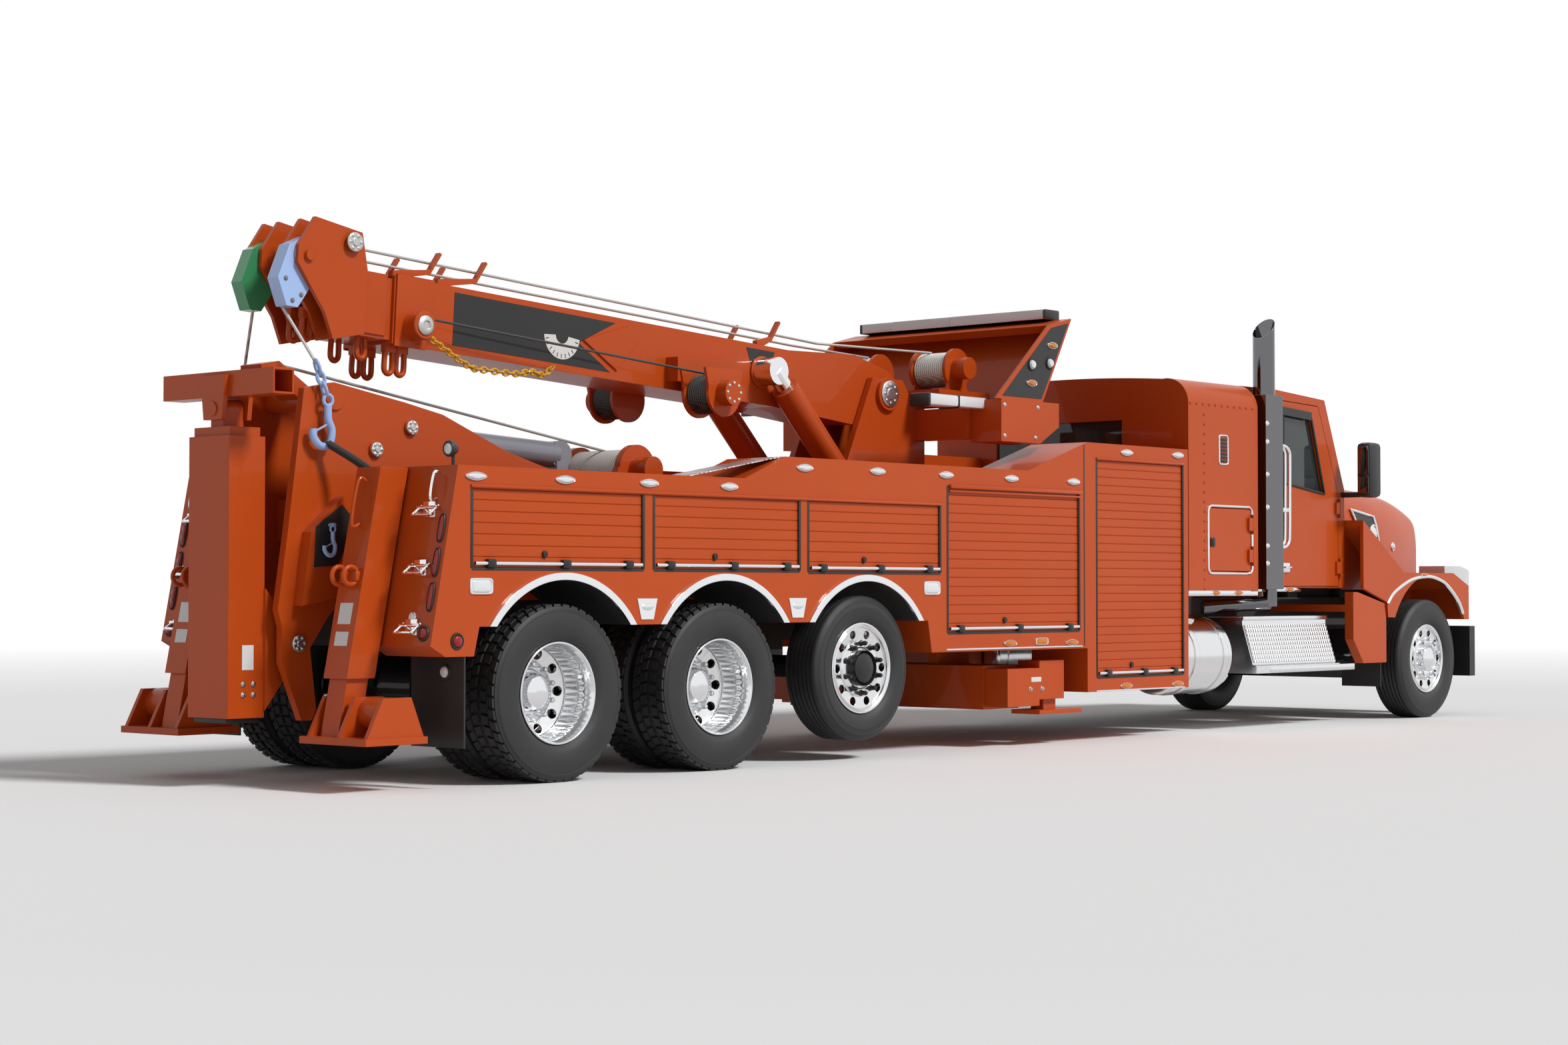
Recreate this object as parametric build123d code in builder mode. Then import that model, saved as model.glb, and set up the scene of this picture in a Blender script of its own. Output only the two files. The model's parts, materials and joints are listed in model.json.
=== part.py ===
"""Heavy recovery tow truck: four axles, sleeper cab, turret with a telescopic boom, and underlift.

Millimetres. +X points forward, +Y to the left and +Z up. The origin is on the ground, in the middle
of the truck's length and width. Lengthwise places are stations, measured forward from the rear drive
axle, because that axle is what a truck is laid out from.
"""

import os
from math import cos, radians, sin

from build123d import *

os.makedirs("parts", exist_ok=True)

# Layout: stations of the two ends and of the axles
REAR_END = -1575
FRONT_END = 11450
REAR_AXLE_X = -(REAR_END + FRONT_END) / 2
DRIVE_SPREAD = 1372
LIFT_STATION = 2735
STEER_STATION = 10463

# Wheels and tyres
HUB_Z = 515
TYRE_R = 515
LIFT_HUB_Z = 600
LIFT_TYRE_R = 475
TYRE_HALF = 150
WHEEL_Y = 1072
DUAL_SPACING = 343
RIM_R = 285
RIM_LIP_R = 298
RIM_HALF = 128
RIM_WALL = 17
SPINDLE_R = 40
DRIVE_SPINDLE_R = 60
RUNNING_FIT = 0.05
SEAT_GAP = 0.3
SLIDE_FIT = 0.3
HAND_HOLES = 10
HAND_HOLE_R = 29
HAND_HOLE_PITCH_R = 226

# Steering
KINGPIN_Y = 900
KINGPIN_R = 24

# Frame
RAIL_OUT = 432
RAIL_FLANGE = 90
RAIL_T = 10
RAIL_Z = (770, 1050)
FRAME_ENDS = (-650, 11120)

# Recovery body
BODY_OUT = 1240
BODY_IN = 740
BODY_REAR_TOP = -813
BODY_REAR_LOW = -1010
BODY_FRONT = 6590
BODY_TOP_REAR = 1805
BODY_TOP_MID = 1955
BODY_TOP_FRONT = 2186
BODY_LOW_REAR = 740
BODY_LOW_ARCH = 905
BODY_LOW_MID = 690
BODY_LOW_FRONT = 370
FRONT_BOX = 5250
ARCH_R = 690
ARCH_Z = 500
DOOR_RECESS = 10
DOOR_T = 16
SLAT = 60
DECK_Z = 1560
DECK_T = 40

# Turret and boom
SLEW_STATION = 4000
RING_R = 600
RING_H = 100
TURRET_FLOOR = (1660.5, 1740)
BOOM_PIVOT = (4121, 2520)
BOOM_TILT = 3.3
BOOM_HALF = 225
BOOM_TOP = 193
BOOM_LOW = -215
BOOM_WALL = 20
BOOM_MOUTH = 4551
PIVOT_R = 60
TURRET_PLATE_Y = (232, 282)
LIFT_LOWER = (3560, 1870)
LIFT_UPPER = (2830, 2600)
LIFT_Y = 346
LIFT_BARREL_R = 95
LIFT_ROD_R = 62

# Underlift
TOWER_Y = (250, 300)
FOLD_PIVOT = (-1184, 807)
FOLD_R = 45
STINGER_X = (REAR_END, REAR_END + 250)
STINGER_HALF = 185
STINGER_Z = (390, 1978)
STINGER_WALL = 20
BAR_PIVOT_Z = 2132
BAR_PIN_R = 42

# Outriggers
LEG_LEAN = 0.2
MID_BEAM_X = (4400, 4780)
MID_BEAM_Z = (285, 555)
JACK_Z = (330, 607)
JACK_X = (MID_BEAM_X[1] + 100, MID_BEAM_X[1] + 250)
JACK_Y = (1000, 1110)

# Cab and sleeper
CAB_X = (7645, 9290)
CAB_OUT = 1060
CAB_WALL = 60
CAB_LOW = 1131
SLEEPER_X = (6630, 7640)
SLEEPER_OUT = 1220
SLEEPER_LOW = 1108
SLEEPER_WALL = 50
DOOR_GAP = 6
HINGE_PIN_R = 6
HINGE_BARREL_R = 11.5
HINGE_OUT = 12


def side_plane(y):
    """A plane facing right whose x is the station and whose y is the height."""
    return Plane(origin=(REAR_AXLE_X, y, 0), x_dir=(1, 0, 0), z_dir=(0, -1, 0))


def boom_plane(y):
    """A plane along the boom: x runs from the heel pivot towards the head, y is square to it."""
    tilt = radians(BOOM_TILT)
    heel = (REAR_AXLE_X + BOOM_PIVOT[0], y, BOOM_PIVOT[1])
    return Plane(origin=heel, x_dir=(-cos(tilt), 0, sin(tilt)), z_dir=(0, 1, 0))


def plate(points, y_low, y_high, mode=Mode.ADD):
    """A side outline of (station, height) points, extruded across the truck."""
    with BuildSketch(side_plane(y_high)) as outline:
        Polygon(*points, align=None)
    extrude(outline.sketch, amount=y_high - y_low, mode=mode)


def boom_plate(points, y_low, y_high, mode=Mode.ADD):
    """An outline of (along, above) points in the boom's own plane, extruded across the boom."""
    with BuildSketch(boom_plane(y_low)) as outline:
        Polygon(*points, align=None)
    extrude(outline.sketch, amount=y_high - y_low, mode=mode)


def cross_section(points, x_low, x_high, mode=Mode.ADD):
    """An outline of (y, height) points seen from behind, extruded forward between two stations."""
    with BuildSketch(Plane(origin=(REAR_AXLE_X + x_low, 0, 0), x_dir=(0, 1, 0), z_dir=(1, 0, 0))) as outline:
        Polygon(*points, align=None)
    extrude(outline.sketch, amount=x_high - x_low, mode=mode)


def block(x, y, z, mode=Mode.ADD):
    """A box between two stations x, two distances y and two heights z."""
    with Locations((REAR_AXLE_X + sum(x) / 2, sum(y) / 2, sum(z) / 2)):
        Box(x[1] - x[0], abs(y[1] - y[0]), z[1] - z[0], mode=mode)


def rod(start, end, radius, mode=Mode.ADD):
    """A round bar between two points given as (station, y, height)."""
    first = Vector(REAR_AXLE_X + start[0], start[1], start[2])
    axis = Vector(REAR_AXLE_X + end[0], end[1], end[2]) - first
    with BuildSketch(Plane(first, z_dir=axis)) as disc:
        Circle(radius)
    extrude(disc.sketch, amount=axis.length, mode=mode)


def pin(station, z, y_low, y_high, radius, mode=Mode.ADD):
    """A round bar across the truck."""
    rod((station, y_low, z), (station, y_high, z), radius, mode)


def boom_pin(along, above, y_low, y_high, radius, mode=Mode.ADD):
    """A round bar across the boom, placed in the boom's own plane."""
    with BuildSketch(boom_plane(y_low)) as disc:
        with Locations((along, above)):
            Circle(radius)
    extrude(disc.sketch, amount=y_high - y_low, mode=mode)


def hinge_seat(station, y, side, ears):
    """The fixed half of a door's hinge: an upright pin between two ears, on a side wall at y."""
    axis_y = side * (y + HINGE_OUT)
    for z in ears:
        rod((station, axis_y, z - 70), (station, axis_y, z + 70), HINGE_PIN_R)
        for low in (z - 78, z + 52):
            block((station - 6, station + 24), (side * y, side * (y + 24)), (low, low + 26))


def hinge_leaf(station, y, side, ears):
    """The moving half of a door's hinge: a barrel round the pin and its leaf on the door's skin."""
    axis_y = side * (y + HINGE_OUT)
    for z in ears:
        rod((station, axis_y, z - 50), (station, axis_y, z + 50), HINGE_BARREL_R)
        block((station - 60, station), (side * (y + SEAT_GAP), side * (y + 20)), (z - 50, z + 50))
        block((station - 60, station - 2 * DOOR_GAP), (side * y, side * (y + 5)), (z - 50, z + 50))
        rod((station, axis_y, z - 55), (station, axis_y, z + 55), HINGE_PIN_R + RUNNING_FIT, Mode.SUBTRACT)


def save(piece, name):
    piece.part.label = name
    export_step(piece.part, f"parts/{name}.step")


# Ladder frame: two channel rails and their cross members
CROSS_MEMBERS = (-560, 686, 2050, 3600, 5600, 7300, 8600, 11000)
CROSS_HALF = 60

with BuildPart() as frame:
    block(FRAME_ENDS, (RAIL_OUT - RAIL_T, RAIL_OUT), RAIL_Z)
    for flange in ((RAIL_Z[0], RAIL_Z[0] + RAIL_T), (RAIL_Z[1] - RAIL_T, RAIL_Z[1])):
        block(FRAME_ENDS, (RAIL_OUT - RAIL_FLANGE, RAIL_OUT), flange)
    mirror(about=Plane.XZ)
    for station in CROSS_MEMBERS:
        inside = RAIL_OUT - RAIL_T
        block(
            (station - CROSS_HALF, station + CROSS_HALF),
            (-inside, inside),
            (RAIL_Z[0] + RAIL_T, RAIL_Z[1] - RAIL_T),
        )
save(frame, "frame")

# Engine: one plain block that rests on the rails by its feet
ENGINE_X = (9320, 10750)
ENGINE_HALF = 330
ENGINE_Z = (860, 1780)
FOOT_H = 60

with BuildPart() as engine:
    block(ENGINE_X, (-ENGINE_HALF, ENGINE_HALF), ENGINE_Z)
    for station in (9500, 10400):
        block((station - 80, station + 80), (-RAIL_OUT, RAIL_OUT), (RAIL_Z[1], RAIL_Z[1] + FOOT_H))
save(engine, "engine")

# Axles: a dropped beam at the front, a plain tube under the lift axle, housings with bowls behind
AXLE_TUBE_R = 75
BOWL_R = 225
BOWL_HALF = 150
HOUSING_END = 700
SPRING_Y = (345, 430)
BEAM_HALF_X = 55
BEAM_Z = (330, 430)
BEAM_END = 820
EYE_R = 52
EYE_Z = 70
NECK_Z = (455, 575)
LEAF_ENDS = 620
LEAF_T = 45

with BuildPart() as axles:
    beam_x = (STEER_STATION - BEAM_HALF_X, STEER_STATION + BEAM_HALF_X)
    block(beam_x, (-BEAM_END, BEAM_END), BEAM_Z)
    for side in (1, -1):
        kingpin = side * KINGPIN_Y
        block(beam_x, (side * (BEAM_END - 90), side * BEAM_END), (BEAM_Z[0], NECK_Z[1]))
        block(beam_x, (side * BEAM_END, kingpin), NECK_Z)
        rod((STEER_STATION, kingpin, HUB_Z - EYE_Z), (STEER_STATION, kingpin, HUB_Z + EYE_Z), EYE_R)
        rod((STEER_STATION, kingpin, HUB_Z - 130), (STEER_STATION, kingpin, HUB_Z + 130), KINGPIN_R)
        spring_y = sorted((side * SPRING_Y[0], side * SPRING_Y[1]))
        block((STEER_STATION - 80, STEER_STATION + 80), spring_y, (BEAM_Z[1], 520))
        upper = [(-LEAF_ENDS, RAIL_Z[0]), (-420, 590), (0, 520), (420, 590), (LEAF_ENDS, RAIL_Z[0])]
        lower = [(x, z - LEAF_T) for x, z in reversed(upper)]
        plate([(STEER_STATION + x, z) for x, z in upper + lower], *spring_y)
    for station, hub_z, spindle_r, housing, reach in (
        (LIFT_STATION, LIFT_HUB_Z, SPINDLE_R, 985, WHEEL_Y + 50),
        (DRIVE_SPREAD, HUB_Z, DRIVE_SPINDLE_R, HOUSING_END, WHEEL_Y - 60),
        (0, HUB_Z, DRIVE_SPINDLE_R, HOUSING_END, WHEEL_Y - 60),
    ):
        pin(station, hub_z, -housing, housing, AXLE_TUBE_R)
        pin(station, hub_z, -reach, reach, spindle_r)
        if housing == HOUSING_END:
            pin(station, hub_z, -BOWL_HALF, BOWL_HALF, BOWL_R)
        for side in (1, -1):
            block(
                (station - 90, station + 90),
                (side * SPRING_Y[0], side * SPRING_Y[1]),
                (hub_z, RAIL_Z[0]),
            )
save(axles, "axles")

# Steering knuckles: a yoke round the beam's eye, and the spindle of the wheel
YOKE_Z = 128
YOKE_GAP = 1

for side, hand in ((1, "left"), (-1, "right")):
    with BuildPart() as knuckle:
        kingpin = side * KINGPIN_Y
        for low, high in ((-YOKE_Z, -EYE_Z - YOKE_GAP), (EYE_Z + YOKE_GAP, YOKE_Z)):
            rod((STEER_STATION, kingpin, HUB_Z + low), (STEER_STATION, kingpin, HUB_Z + high), EYE_R)
            block(
                (STEER_STATION - 45, STEER_STATION + 45),
                (kingpin, kingpin + side * 85),
                (HUB_Z + low, HUB_Z + high),
            )
        block(
            (STEER_STATION - 60, STEER_STATION + 60),
            (kingpin + side * 62, kingpin + side * 92),
            (HUB_Z - YOKE_Z, HUB_Z + YOKE_Z),
        )
        pin(
            STEER_STATION,
            HUB_Z,
            min(kingpin + side * 90, side * (WHEEL_Y + 50)),
            max(kingpin + side * 90, side * (WHEEL_Y + 50)),
            SPINDLE_R,
        )
        block(
            (STEER_STATION - 260, STEER_STATION),
            (kingpin - side * 20, kingpin + side * 20),
            (HUB_Z - YOKE_Z, HUB_Z - YOKE_Z + 35),
        )
        rod(
            (STEER_STATION, kingpin, HUB_Z - 140),
            (STEER_STATION, kingpin, HUB_Z + 140),
            KINGPIN_R + RUNNING_FIT,
            Mode.SUBTRACT,
        )
    save(knuckle, f"knuckle_{hand}")

# Wheels: the tyre and its rim are turned about the axle; (radius, offset) runs outboard
WHEELS = (
    # name, station, hub height, tyre radius, twin
    ("steer", STEER_STATION, HUB_Z, TYRE_R, False),
    ("lift", LIFT_STATION, LIFT_HUB_Z, LIFT_TYRE_R, False),
    ("drive_front", DRIVE_SPREAD, HUB_Z, TYRE_R, True),
    ("drive_rear", 0, HUB_Z, TYRE_R, True),
)
HUB_R = 112


def turned(centre, side, points, offset=0, mode=Mode.ADD):
    """A solid of revolution about an axle from (radius, outboard offset) points."""
    plane = Plane(origin=centre, x_dir=(1, 0, 0), z_dir=(0, 0, 1))
    with BuildSketch(plane) as profile:
        Polygon(*[(r, side * (offset + out)) for r, out in points], align=None)
    revolve(profile.sketch, axis=Axis(centre, (0, 1, 0)), mode=mode)


def tyre_ring(centre, side, radius, offset):
    """A tyre with round shoulders and bulging side walls."""
    bead = RIM_R + SEAT_GAP
    bead_half = RIM_HALF - 12
    tread_half = TYRE_HALF - 42
    plane = Plane(origin=centre, x_dir=(1, 0, 0), z_dir=(0, 0, 1))
    with BuildSketch(plane) as profile:
        with BuildLine():
            ends = []
            for wall in (1, -1):
                foot = (bead, side * (offset + wall * bead_half))
                low = (RIM_LIP_R + 4, side * (offset + wall * bead_half))
                belly = ((bead + radius) / 2, side * (offset + wall * TYRE_HALF))
                shoulder = (radius - 12, side * (offset + wall * (TYRE_HALF - 20)))
                edge = (radius, side * (offset + wall * tread_half))
                Line(foot, low)
                ThreePointArc(low, belly, shoulder)
                Line(shoulder, edge)
                ends.append((foot, edge))
            Line(ends[0][0], ends[1][0])
            Line(ends[0][1], ends[1][1])
        make_face()
    revolve(profile.sketch, axis=Axis(centre, (0, 1, 0)))


def rim_barrel(centre, side, offset):
    """The hollow barrel of a rim with a lip at each edge."""
    inner = RIM_R - RIM_WALL
    lip = RIM_HALF - 10
    points = [(inner, -RIM_HALF), (RIM_LIP_R, -RIM_HALF), (RIM_LIP_R, -lip), (RIM_R, -lip)]
    points += [(r, -out) for r, out in reversed(points)]
    turned(centre, side, points, offset)


for name, station, hub_z, radius, twin in WHEELS:
    for side, hand in ((1, "left"), (-1, "right")):
        centre = (REAR_AXLE_X + station, side * WHEEL_Y, hub_z)
        inner = RIM_R - RIM_WALL
        with BuildPart() as rim:
            rim_barrel(centre, side, 0)
            if twin:
                rim_barrel(centre, side, -DUAL_SPACING)
                web = -DUAL_SPACING / 2
                disc = [(HUB_R - 5, web + 24), (200, web + 24), (inner + 2, -RIM_HALF + 22)]
                disc += [(inner + 2, -RIM_HALF), (210, web), (HUB_R - 5, web)]
                turned(centre, side, disc)
                turned(centre, side, [(r, 2 * web - out) for r, out in reversed(disc)])
                turned(centre, side, [(DRIVE_SPINDLE_R + RUNNING_FIT, -360), (HUB_R, -360), (HUB_R, -20), (0, -20), (0, -50), (DRIVE_SPINDLE_R + RUNNING_FIT, -50)])
            else:
                disc = [(HUB_R - 5, 96), (170, 118), (200, 104), (inner + 2, 104)]
                disc += [(inner + 2, 84), (190, 84), (HUB_R - 5, 72)]
                turned(centre, side, disc)
                bore = SPINDLE_R + RUNNING_FIT
                turned(centre, side, [(bore, -60), (HUB_R, -60), (HUB_R, 165), (0, 165), (0, 60), (bore, 60)])
            for k in range(HAND_HOLES):
                turn = radians(360 * k / HAND_HOLES)
                hole = (station + HAND_HOLE_PITCH_R * cos(turn), hub_z + HAND_HOLE_PITCH_R * sin(turn))
                far = WHEEL_Y - DUAL_SPACING - RIM_HALF + 40 if twin else WHEEL_Y + 40
                pin(*hole, min(side * far, side * 1300), max(side * far, side * 1300), HAND_HOLE_R, Mode.SUBTRACT)
        with BuildPart() as wheel:
            tyre_ring(centre, side, radius, 0)
            if twin:
                tyre_ring(centre, side, radius, -DUAL_SPACING)
            add(rim.part)
        save(wheel, f"wheel_{name}_{hand}")

# Side bodies: one long box a side with open compartments and a round arch over each rear wheel
COMPARTMENTS = (
    # rear, front, bottom, top
    (-709, 655, 1232, 1678),
    (742, 2071, 1232, 1678),
    (2154, 3520, 1225, 1680),
    (3600, 5150, 820, 1822),
    (5370, 6520, 476, 2060),
)
ARCH_STATIONS = (0, DRIVE_SPREAD, LIFT_STATION)
INNER_WALL = 24
SLEW_RELIEF_R = 775
SLEW_RELIEF_Z = (1835, 2300)

SIDE_OUTLINE = (
    (BODY_REAR_TOP, BODY_TOP_REAR),
    (1550, BODY_TOP_REAR),
    (1934, BODY_TOP_MID),
    (4526, BODY_TOP_MID),
    (FRONT_BOX, BODY_TOP_FRONT),
    (BODY_FRONT, BODY_TOP_FRONT),
    (BODY_FRONT, BODY_LOW_FRONT),
    (FRONT_BOX, BODY_LOW_FRONT),
    (FRONT_BOX, BODY_LOW_MID),
    (LIFT_STATION + ARCH_R, BODY_LOW_MID),
    (LIFT_STATION + ARCH_R - 40, BODY_LOW_ARCH),
    (-ARCH_R + 40, BODY_LOW_ARCH),
    (-ARCH_R, BODY_LOW_REAR),
    (BODY_REAR_LOW + 110, BODY_LOW_REAR),
    (BODY_REAR_LOW, BODY_LOW_REAR + 60),
)

with BuildPart() as side_bodies:
    plate(SIDE_OUTLINE, BODY_IN, BODY_OUT)
    for station in ARCH_STATIONS:
        pin(station, ARCH_Z, BODY_IN - 5, BODY_OUT + 5, ARCH_R, Mode.SUBTRACT)
    for rear, front, bottom, top in COMPARTMENTS:
        block((rear, front), (BODY_IN + INNER_WALL, BODY_OUT + 5), (bottom, top), Mode.SUBTRACT)
    mirror(about=Plane.XZ)
    with Locations((REAR_AXLE_X + SLEW_STATION, 0, sum(SLEW_RELIEF_Z) / 2)):
        Cylinder(SLEW_RELIEF_R, SLEW_RELIEF_Z[1] - SLEW_RELIEF_Z[0], mode=Mode.SUBTRACT)
save(side_bodies, "side_bodies")

# Roll-up doors: a slatted curtain in each compartment's mouth, with the lift bar along its foot
GROOVE = 5

with BuildPart() as roller_doors:
    for rear, front, bottom, top in COMPARTMENTS:
        face = BODY_OUT - DOOR_RECESS
        back = face - DOOR_T
        slats = int((top - bottom) // SLAT)
        pitch = (top - bottom) / slats
        outline = [(back, top), (back, bottom)]
        for k in range(slats):
            low = bottom + k * pitch
            outline += [(face - GROOVE, low), (face, low + GROOVE), (face, low + pitch - GROOVE)]
        outline.append((face - GROOVE, top))
        cross_section(outline, rear, front)
    mirror(about=Plane.XZ)
save(roller_doors, "roller_doors")

# Chrome arch trims: a flat half ring round each arch
TRIM_W = 42
TRIM_OUT = 18

with BuildPart() as arch_trims:
    for station in ARCH_STATIONS:
        pin(station, ARCH_Z, BODY_OUT, BODY_OUT + TRIM_OUT, ARCH_R + TRIM_W / 2)
    for station in ARCH_STATIONS:
        pin(station, ARCH_Z, BODY_OUT - 5, BODY_OUT + 30, ARCH_R - TRIM_W / 2, Mode.SUBTRACT)
    block((-2000, 5000), (BODY_OUT - 5, BODY_OUT + 30), (-500, BODY_LOW_ARCH), Mode.SUBTRACT)
    mirror(about=Plane.XZ)
save(arch_trims, "arch_trims")

# Mud guards: liners inside the arches, and flaps behind the rear and the front wheels
LINER_T = 8
LINER_IN = 600

with BuildPart() as mud_guards:
    for station in ARCH_STATIONS:
        pin(station, ARCH_Z, LINER_IN, BODY_OUT - 5, ARCH_R - SEAT_GAP)
    for station in ARCH_STATIONS:
        pin(station, ARCH_Z, LINER_IN - 5, BODY_OUT, ARCH_R - LINER_T, Mode.SUBTRACT)
    block((-2000, 5000), (LINER_IN - 5, BODY_OUT + 30), (-500, BODY_LOW_ARCH), Mode.SUBTRACT)
    block((-760, -748), (790, 1235), (230, BODY_LOW_REAR))
    block((9640, 9652), (830, 1200), (290, 497))
    mirror(about=Plane.XZ)
save(mud_guards, "mud_guards")

# Deck: floor plate, subframe beams on the rails, front cross box and the fixed slewing ring
DECK_REAR = 950

with BuildPart() as deck:
    block((DECK_REAR, BODY_FRONT), (-BODY_IN, BODY_IN), (DECK_Z - DECK_T, DECK_Z))
    for side in (1, -1):
        block(
            (DECK_REAR, BODY_FRONT),
            (side * (RAIL_OUT - RAIL_FLANGE), side * RAIL_OUT),
            (RAIL_Z[1], DECK_Z - DECK_T),
        )
    with Locations((REAR_AXLE_X + SLEW_STATION, 0, DECK_Z + RING_H / 2)):
        Cylinder(RING_R, RING_H)
        Cylinder(RING_R - 120, RING_H, mode=Mode.SUBTRACT)
save(deck, "deck")

# Deck winch: drum between two flanges on a stand
with BuildPart() as deck_winch:
    block((1250, 1900), (-330, 330), (DECK_Z, DECK_Z + 60))
    for side in (1, -1):
        plate([(1300, 1600), (1850, 1600), (1750, 1900), (1400, 1900)], side * 260 - 25, side * 260 + 25)
        pin(1575, 1885, side * 260 - 25, side * 260 + 25, 165)
    pin(1575, 1885, -260, 260, 120)
    pin(1575, 1885, -430, -260, 85)
save(deck_winch, "deck_winch")

# Underlift tower: two tall side plates on a base, joined by cross tubes, a box and the sheave head
TOWER_OUTLINE = (
    (-1142, 2262),
    (-926, 2305),
    (-397, 2217),
    (-100, 2159),
    (415, 1960),
    (900, 1830),
    (900, RAIL_Z[1]),
    (-560, RAIL_Z[1]),
    (-869, 1040),
    (-960, 960),
    (-1090, 780),
    (-1045, 430),
    (-1075, 370),
    (-1150, 370),
    (-1290, 700),
    (-1290, 900),
    (-1320, 1000),
    (-1252, 1440),
)
TOWER_BASE = (-560, 900)

with BuildPart() as underlift_tower:
    for side in (1, -1):
        low, high = sorted((side * TOWER_Y[0], side * TOWER_Y[1]))
        plate(TOWER_OUTLINE, low, high)
        plate([(-922, 1648), (-660, 1418), (-869, 1078), (-1210, 1020), (-1150, 1439)], *sorted((side * 300, side * 380)))
    block(TOWER_BASE, (-RAIL_OUT, RAIL_OUT), (RAIL_Z[1], RAIL_Z[1] + 100))
    for station, z, radius in ((-926, 2215, 70), (-354, 2069, 48), (-622, 1929, 48), (700, 1700, 60)):
        pin(station, z, -TOWER_Y[1] - 14, TOWER_Y[1] + 14, radius)
    block((-900, -680), (-TOWER_Y[1], TOWER_Y[1]), (1400, 1640))
    head = [(-1120, 2270), (-1270, 2290), (-1290, 2400), (-1160, 2425), (-926, 2275), (-926, 2180)]
    plate(head, -95, 95)
    pin(*FOLD_PIVOT, -TOWER_Y[1] - 16, TOWER_Y[1] + 16, FOLD_R)
save(underlift_tower, "underlift_tower")

# Underlift cylinder between the tower's plates
with BuildPart() as underlift_cylinder:
    rod((-200, 0, 2040), (1090, 0, 1975), 82)
    rod((-300, 0, 2045), (-200, 0, 2040), 55)
    pin(1110, 1975, -60, 60, 90)
    block((1060, 1160), (-70, 70), (DECK_Z, 1975))
save(underlift_cylinder, "underlift_cylinder")

# Stinger: square tube that folds about the tower's low pin, with an ear each side
STINGER_EARS = ((-1330, 1120), (-1130, 900), (-1100, 720), (-1330, 430))

with BuildPart() as stinger:
    block(STINGER_X, (-STINGER_HALF, STINGER_HALF), STINGER_Z)
    for side in (1, -1):
        plate(STINGER_EARS, *sorted((side * 140, side * 200)))
        pin(*FOLD_PIVOT, *sorted((side * 140, side * 200)), 90)
    block(
        (STINGER_X[0] + STINGER_WALL, STINGER_X[1] - STINGER_WALL),
        (-STINGER_HALF + STINGER_WALL, STINGER_HALF - STINGER_WALL),
        (STINGER_Z[0] + STINGER_WALL, STINGER_Z[1] + 5),
        Mode.SUBTRACT,
    )
    pin(*FOLD_PIVOT, -220, 220, FOLD_R + RUNNING_FIT, Mode.SUBTRACT)
save(stinger, "stinger")

# Stinger inner section: slides in the stinger and carries the crossbar's pivot
INNER_Z = (620, 2030)
inset = STINGER_WALL + SLIDE_FIT

with BuildPart() as stinger_inner:
    inner_x = (STINGER_X[0] + inset, STINGER_X[1] - inset)
    inner_y = STINGER_HALF - inset
    block(inner_x, (-inner_y, inner_y), INNER_Z)
    middle = sum(inner_x) / 2
    block((middle - 70, middle + 70), (-58, 58), (INNER_Z[1], BAR_PIVOT_Z))
    rod((middle - 70, 0, BAR_PIVOT_Z), (middle + 70, 0, BAR_PIVOT_Z), 58)
    rod((middle - 90, 0, BAR_PIVOT_Z), (middle + 90, 0, BAR_PIVOT_Z), BAR_PIN_R + RUNNING_FIT, Mode.SUBTRACT)
save(stinger_inner, "stinger_inner")

# Crossbar: open square tube on two lug plates that turn about the pivot's pin
BAR_HALF = 510
BAR_SIDE = 145
BAR_WALL = 12
LUG_T = 30

with BuildPart() as crossbar:
    middle = sum(STINGER_X) / 2
    bar_z = (BAR_PIVOT_Z + 68, BAR_PIVOT_Z + 68 + BAR_SIDE)
    block((middle - BAR_SIDE / 2, middle + BAR_SIDE / 2), (-BAR_HALF, BAR_HALF), bar_z)
    block(
        (middle - BAR_SIDE / 2 + BAR_WALL, middle + BAR_SIDE / 2 - BAR_WALL),
        (-BAR_HALF - 5, BAR_HALF + 5),
        (bar_z[0] + BAR_WALL, bar_z[1] - BAR_WALL),
        Mode.SUBTRACT,
    )
    lug = [(-85, BAR_PIVOT_Z - 60), (85, BAR_PIVOT_Z - 60), (116, bar_z[1] - 20), (-116, bar_z[1] - 20)]
    for low in (middle - BAR_SIDE / 2 - LUG_T, middle + BAR_SIDE / 2):
        cross_section(lug, low, low + LUG_T)
    reach = BAR_SIDE / 2 + LUG_T + 8
    rod((middle - reach, 0, BAR_PIVOT_Z), (middle + reach, 0, BAR_PIVOT_Z), BAR_PIN_R)
save(crossbar, "crossbar")

# Outriggers: slanted columns at the rear with sliding legs, cross boxes amidships with beams and legs
COLUMN_Y = (640, 840)
COLUMN_Z = (620, 1800)
COLUMN_X = (-1030, -830)
LEG_INSET = 25
LEG_FOOT_Z = 262
FOOT_T = 40
SLEEVE_END = 950
SLEEVE_T = 20


def lean(station, z):
    """A station moved along the slant of the rear columns."""
    return station + LEG_LEAN * (z - COLUMN_Z[1])


def slanted(x, z, y, mode=Mode.ADD):
    """A bar along the rear columns' slant."""
    points = [(lean(x[0], z[0]), z[0]), (lean(x[1], z[0]), z[0]), (lean(x[1], z[1]), z[1]), (lean(x[0], z[1]), z[1])]
    plate(points, *sorted(y), mode)


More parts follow.
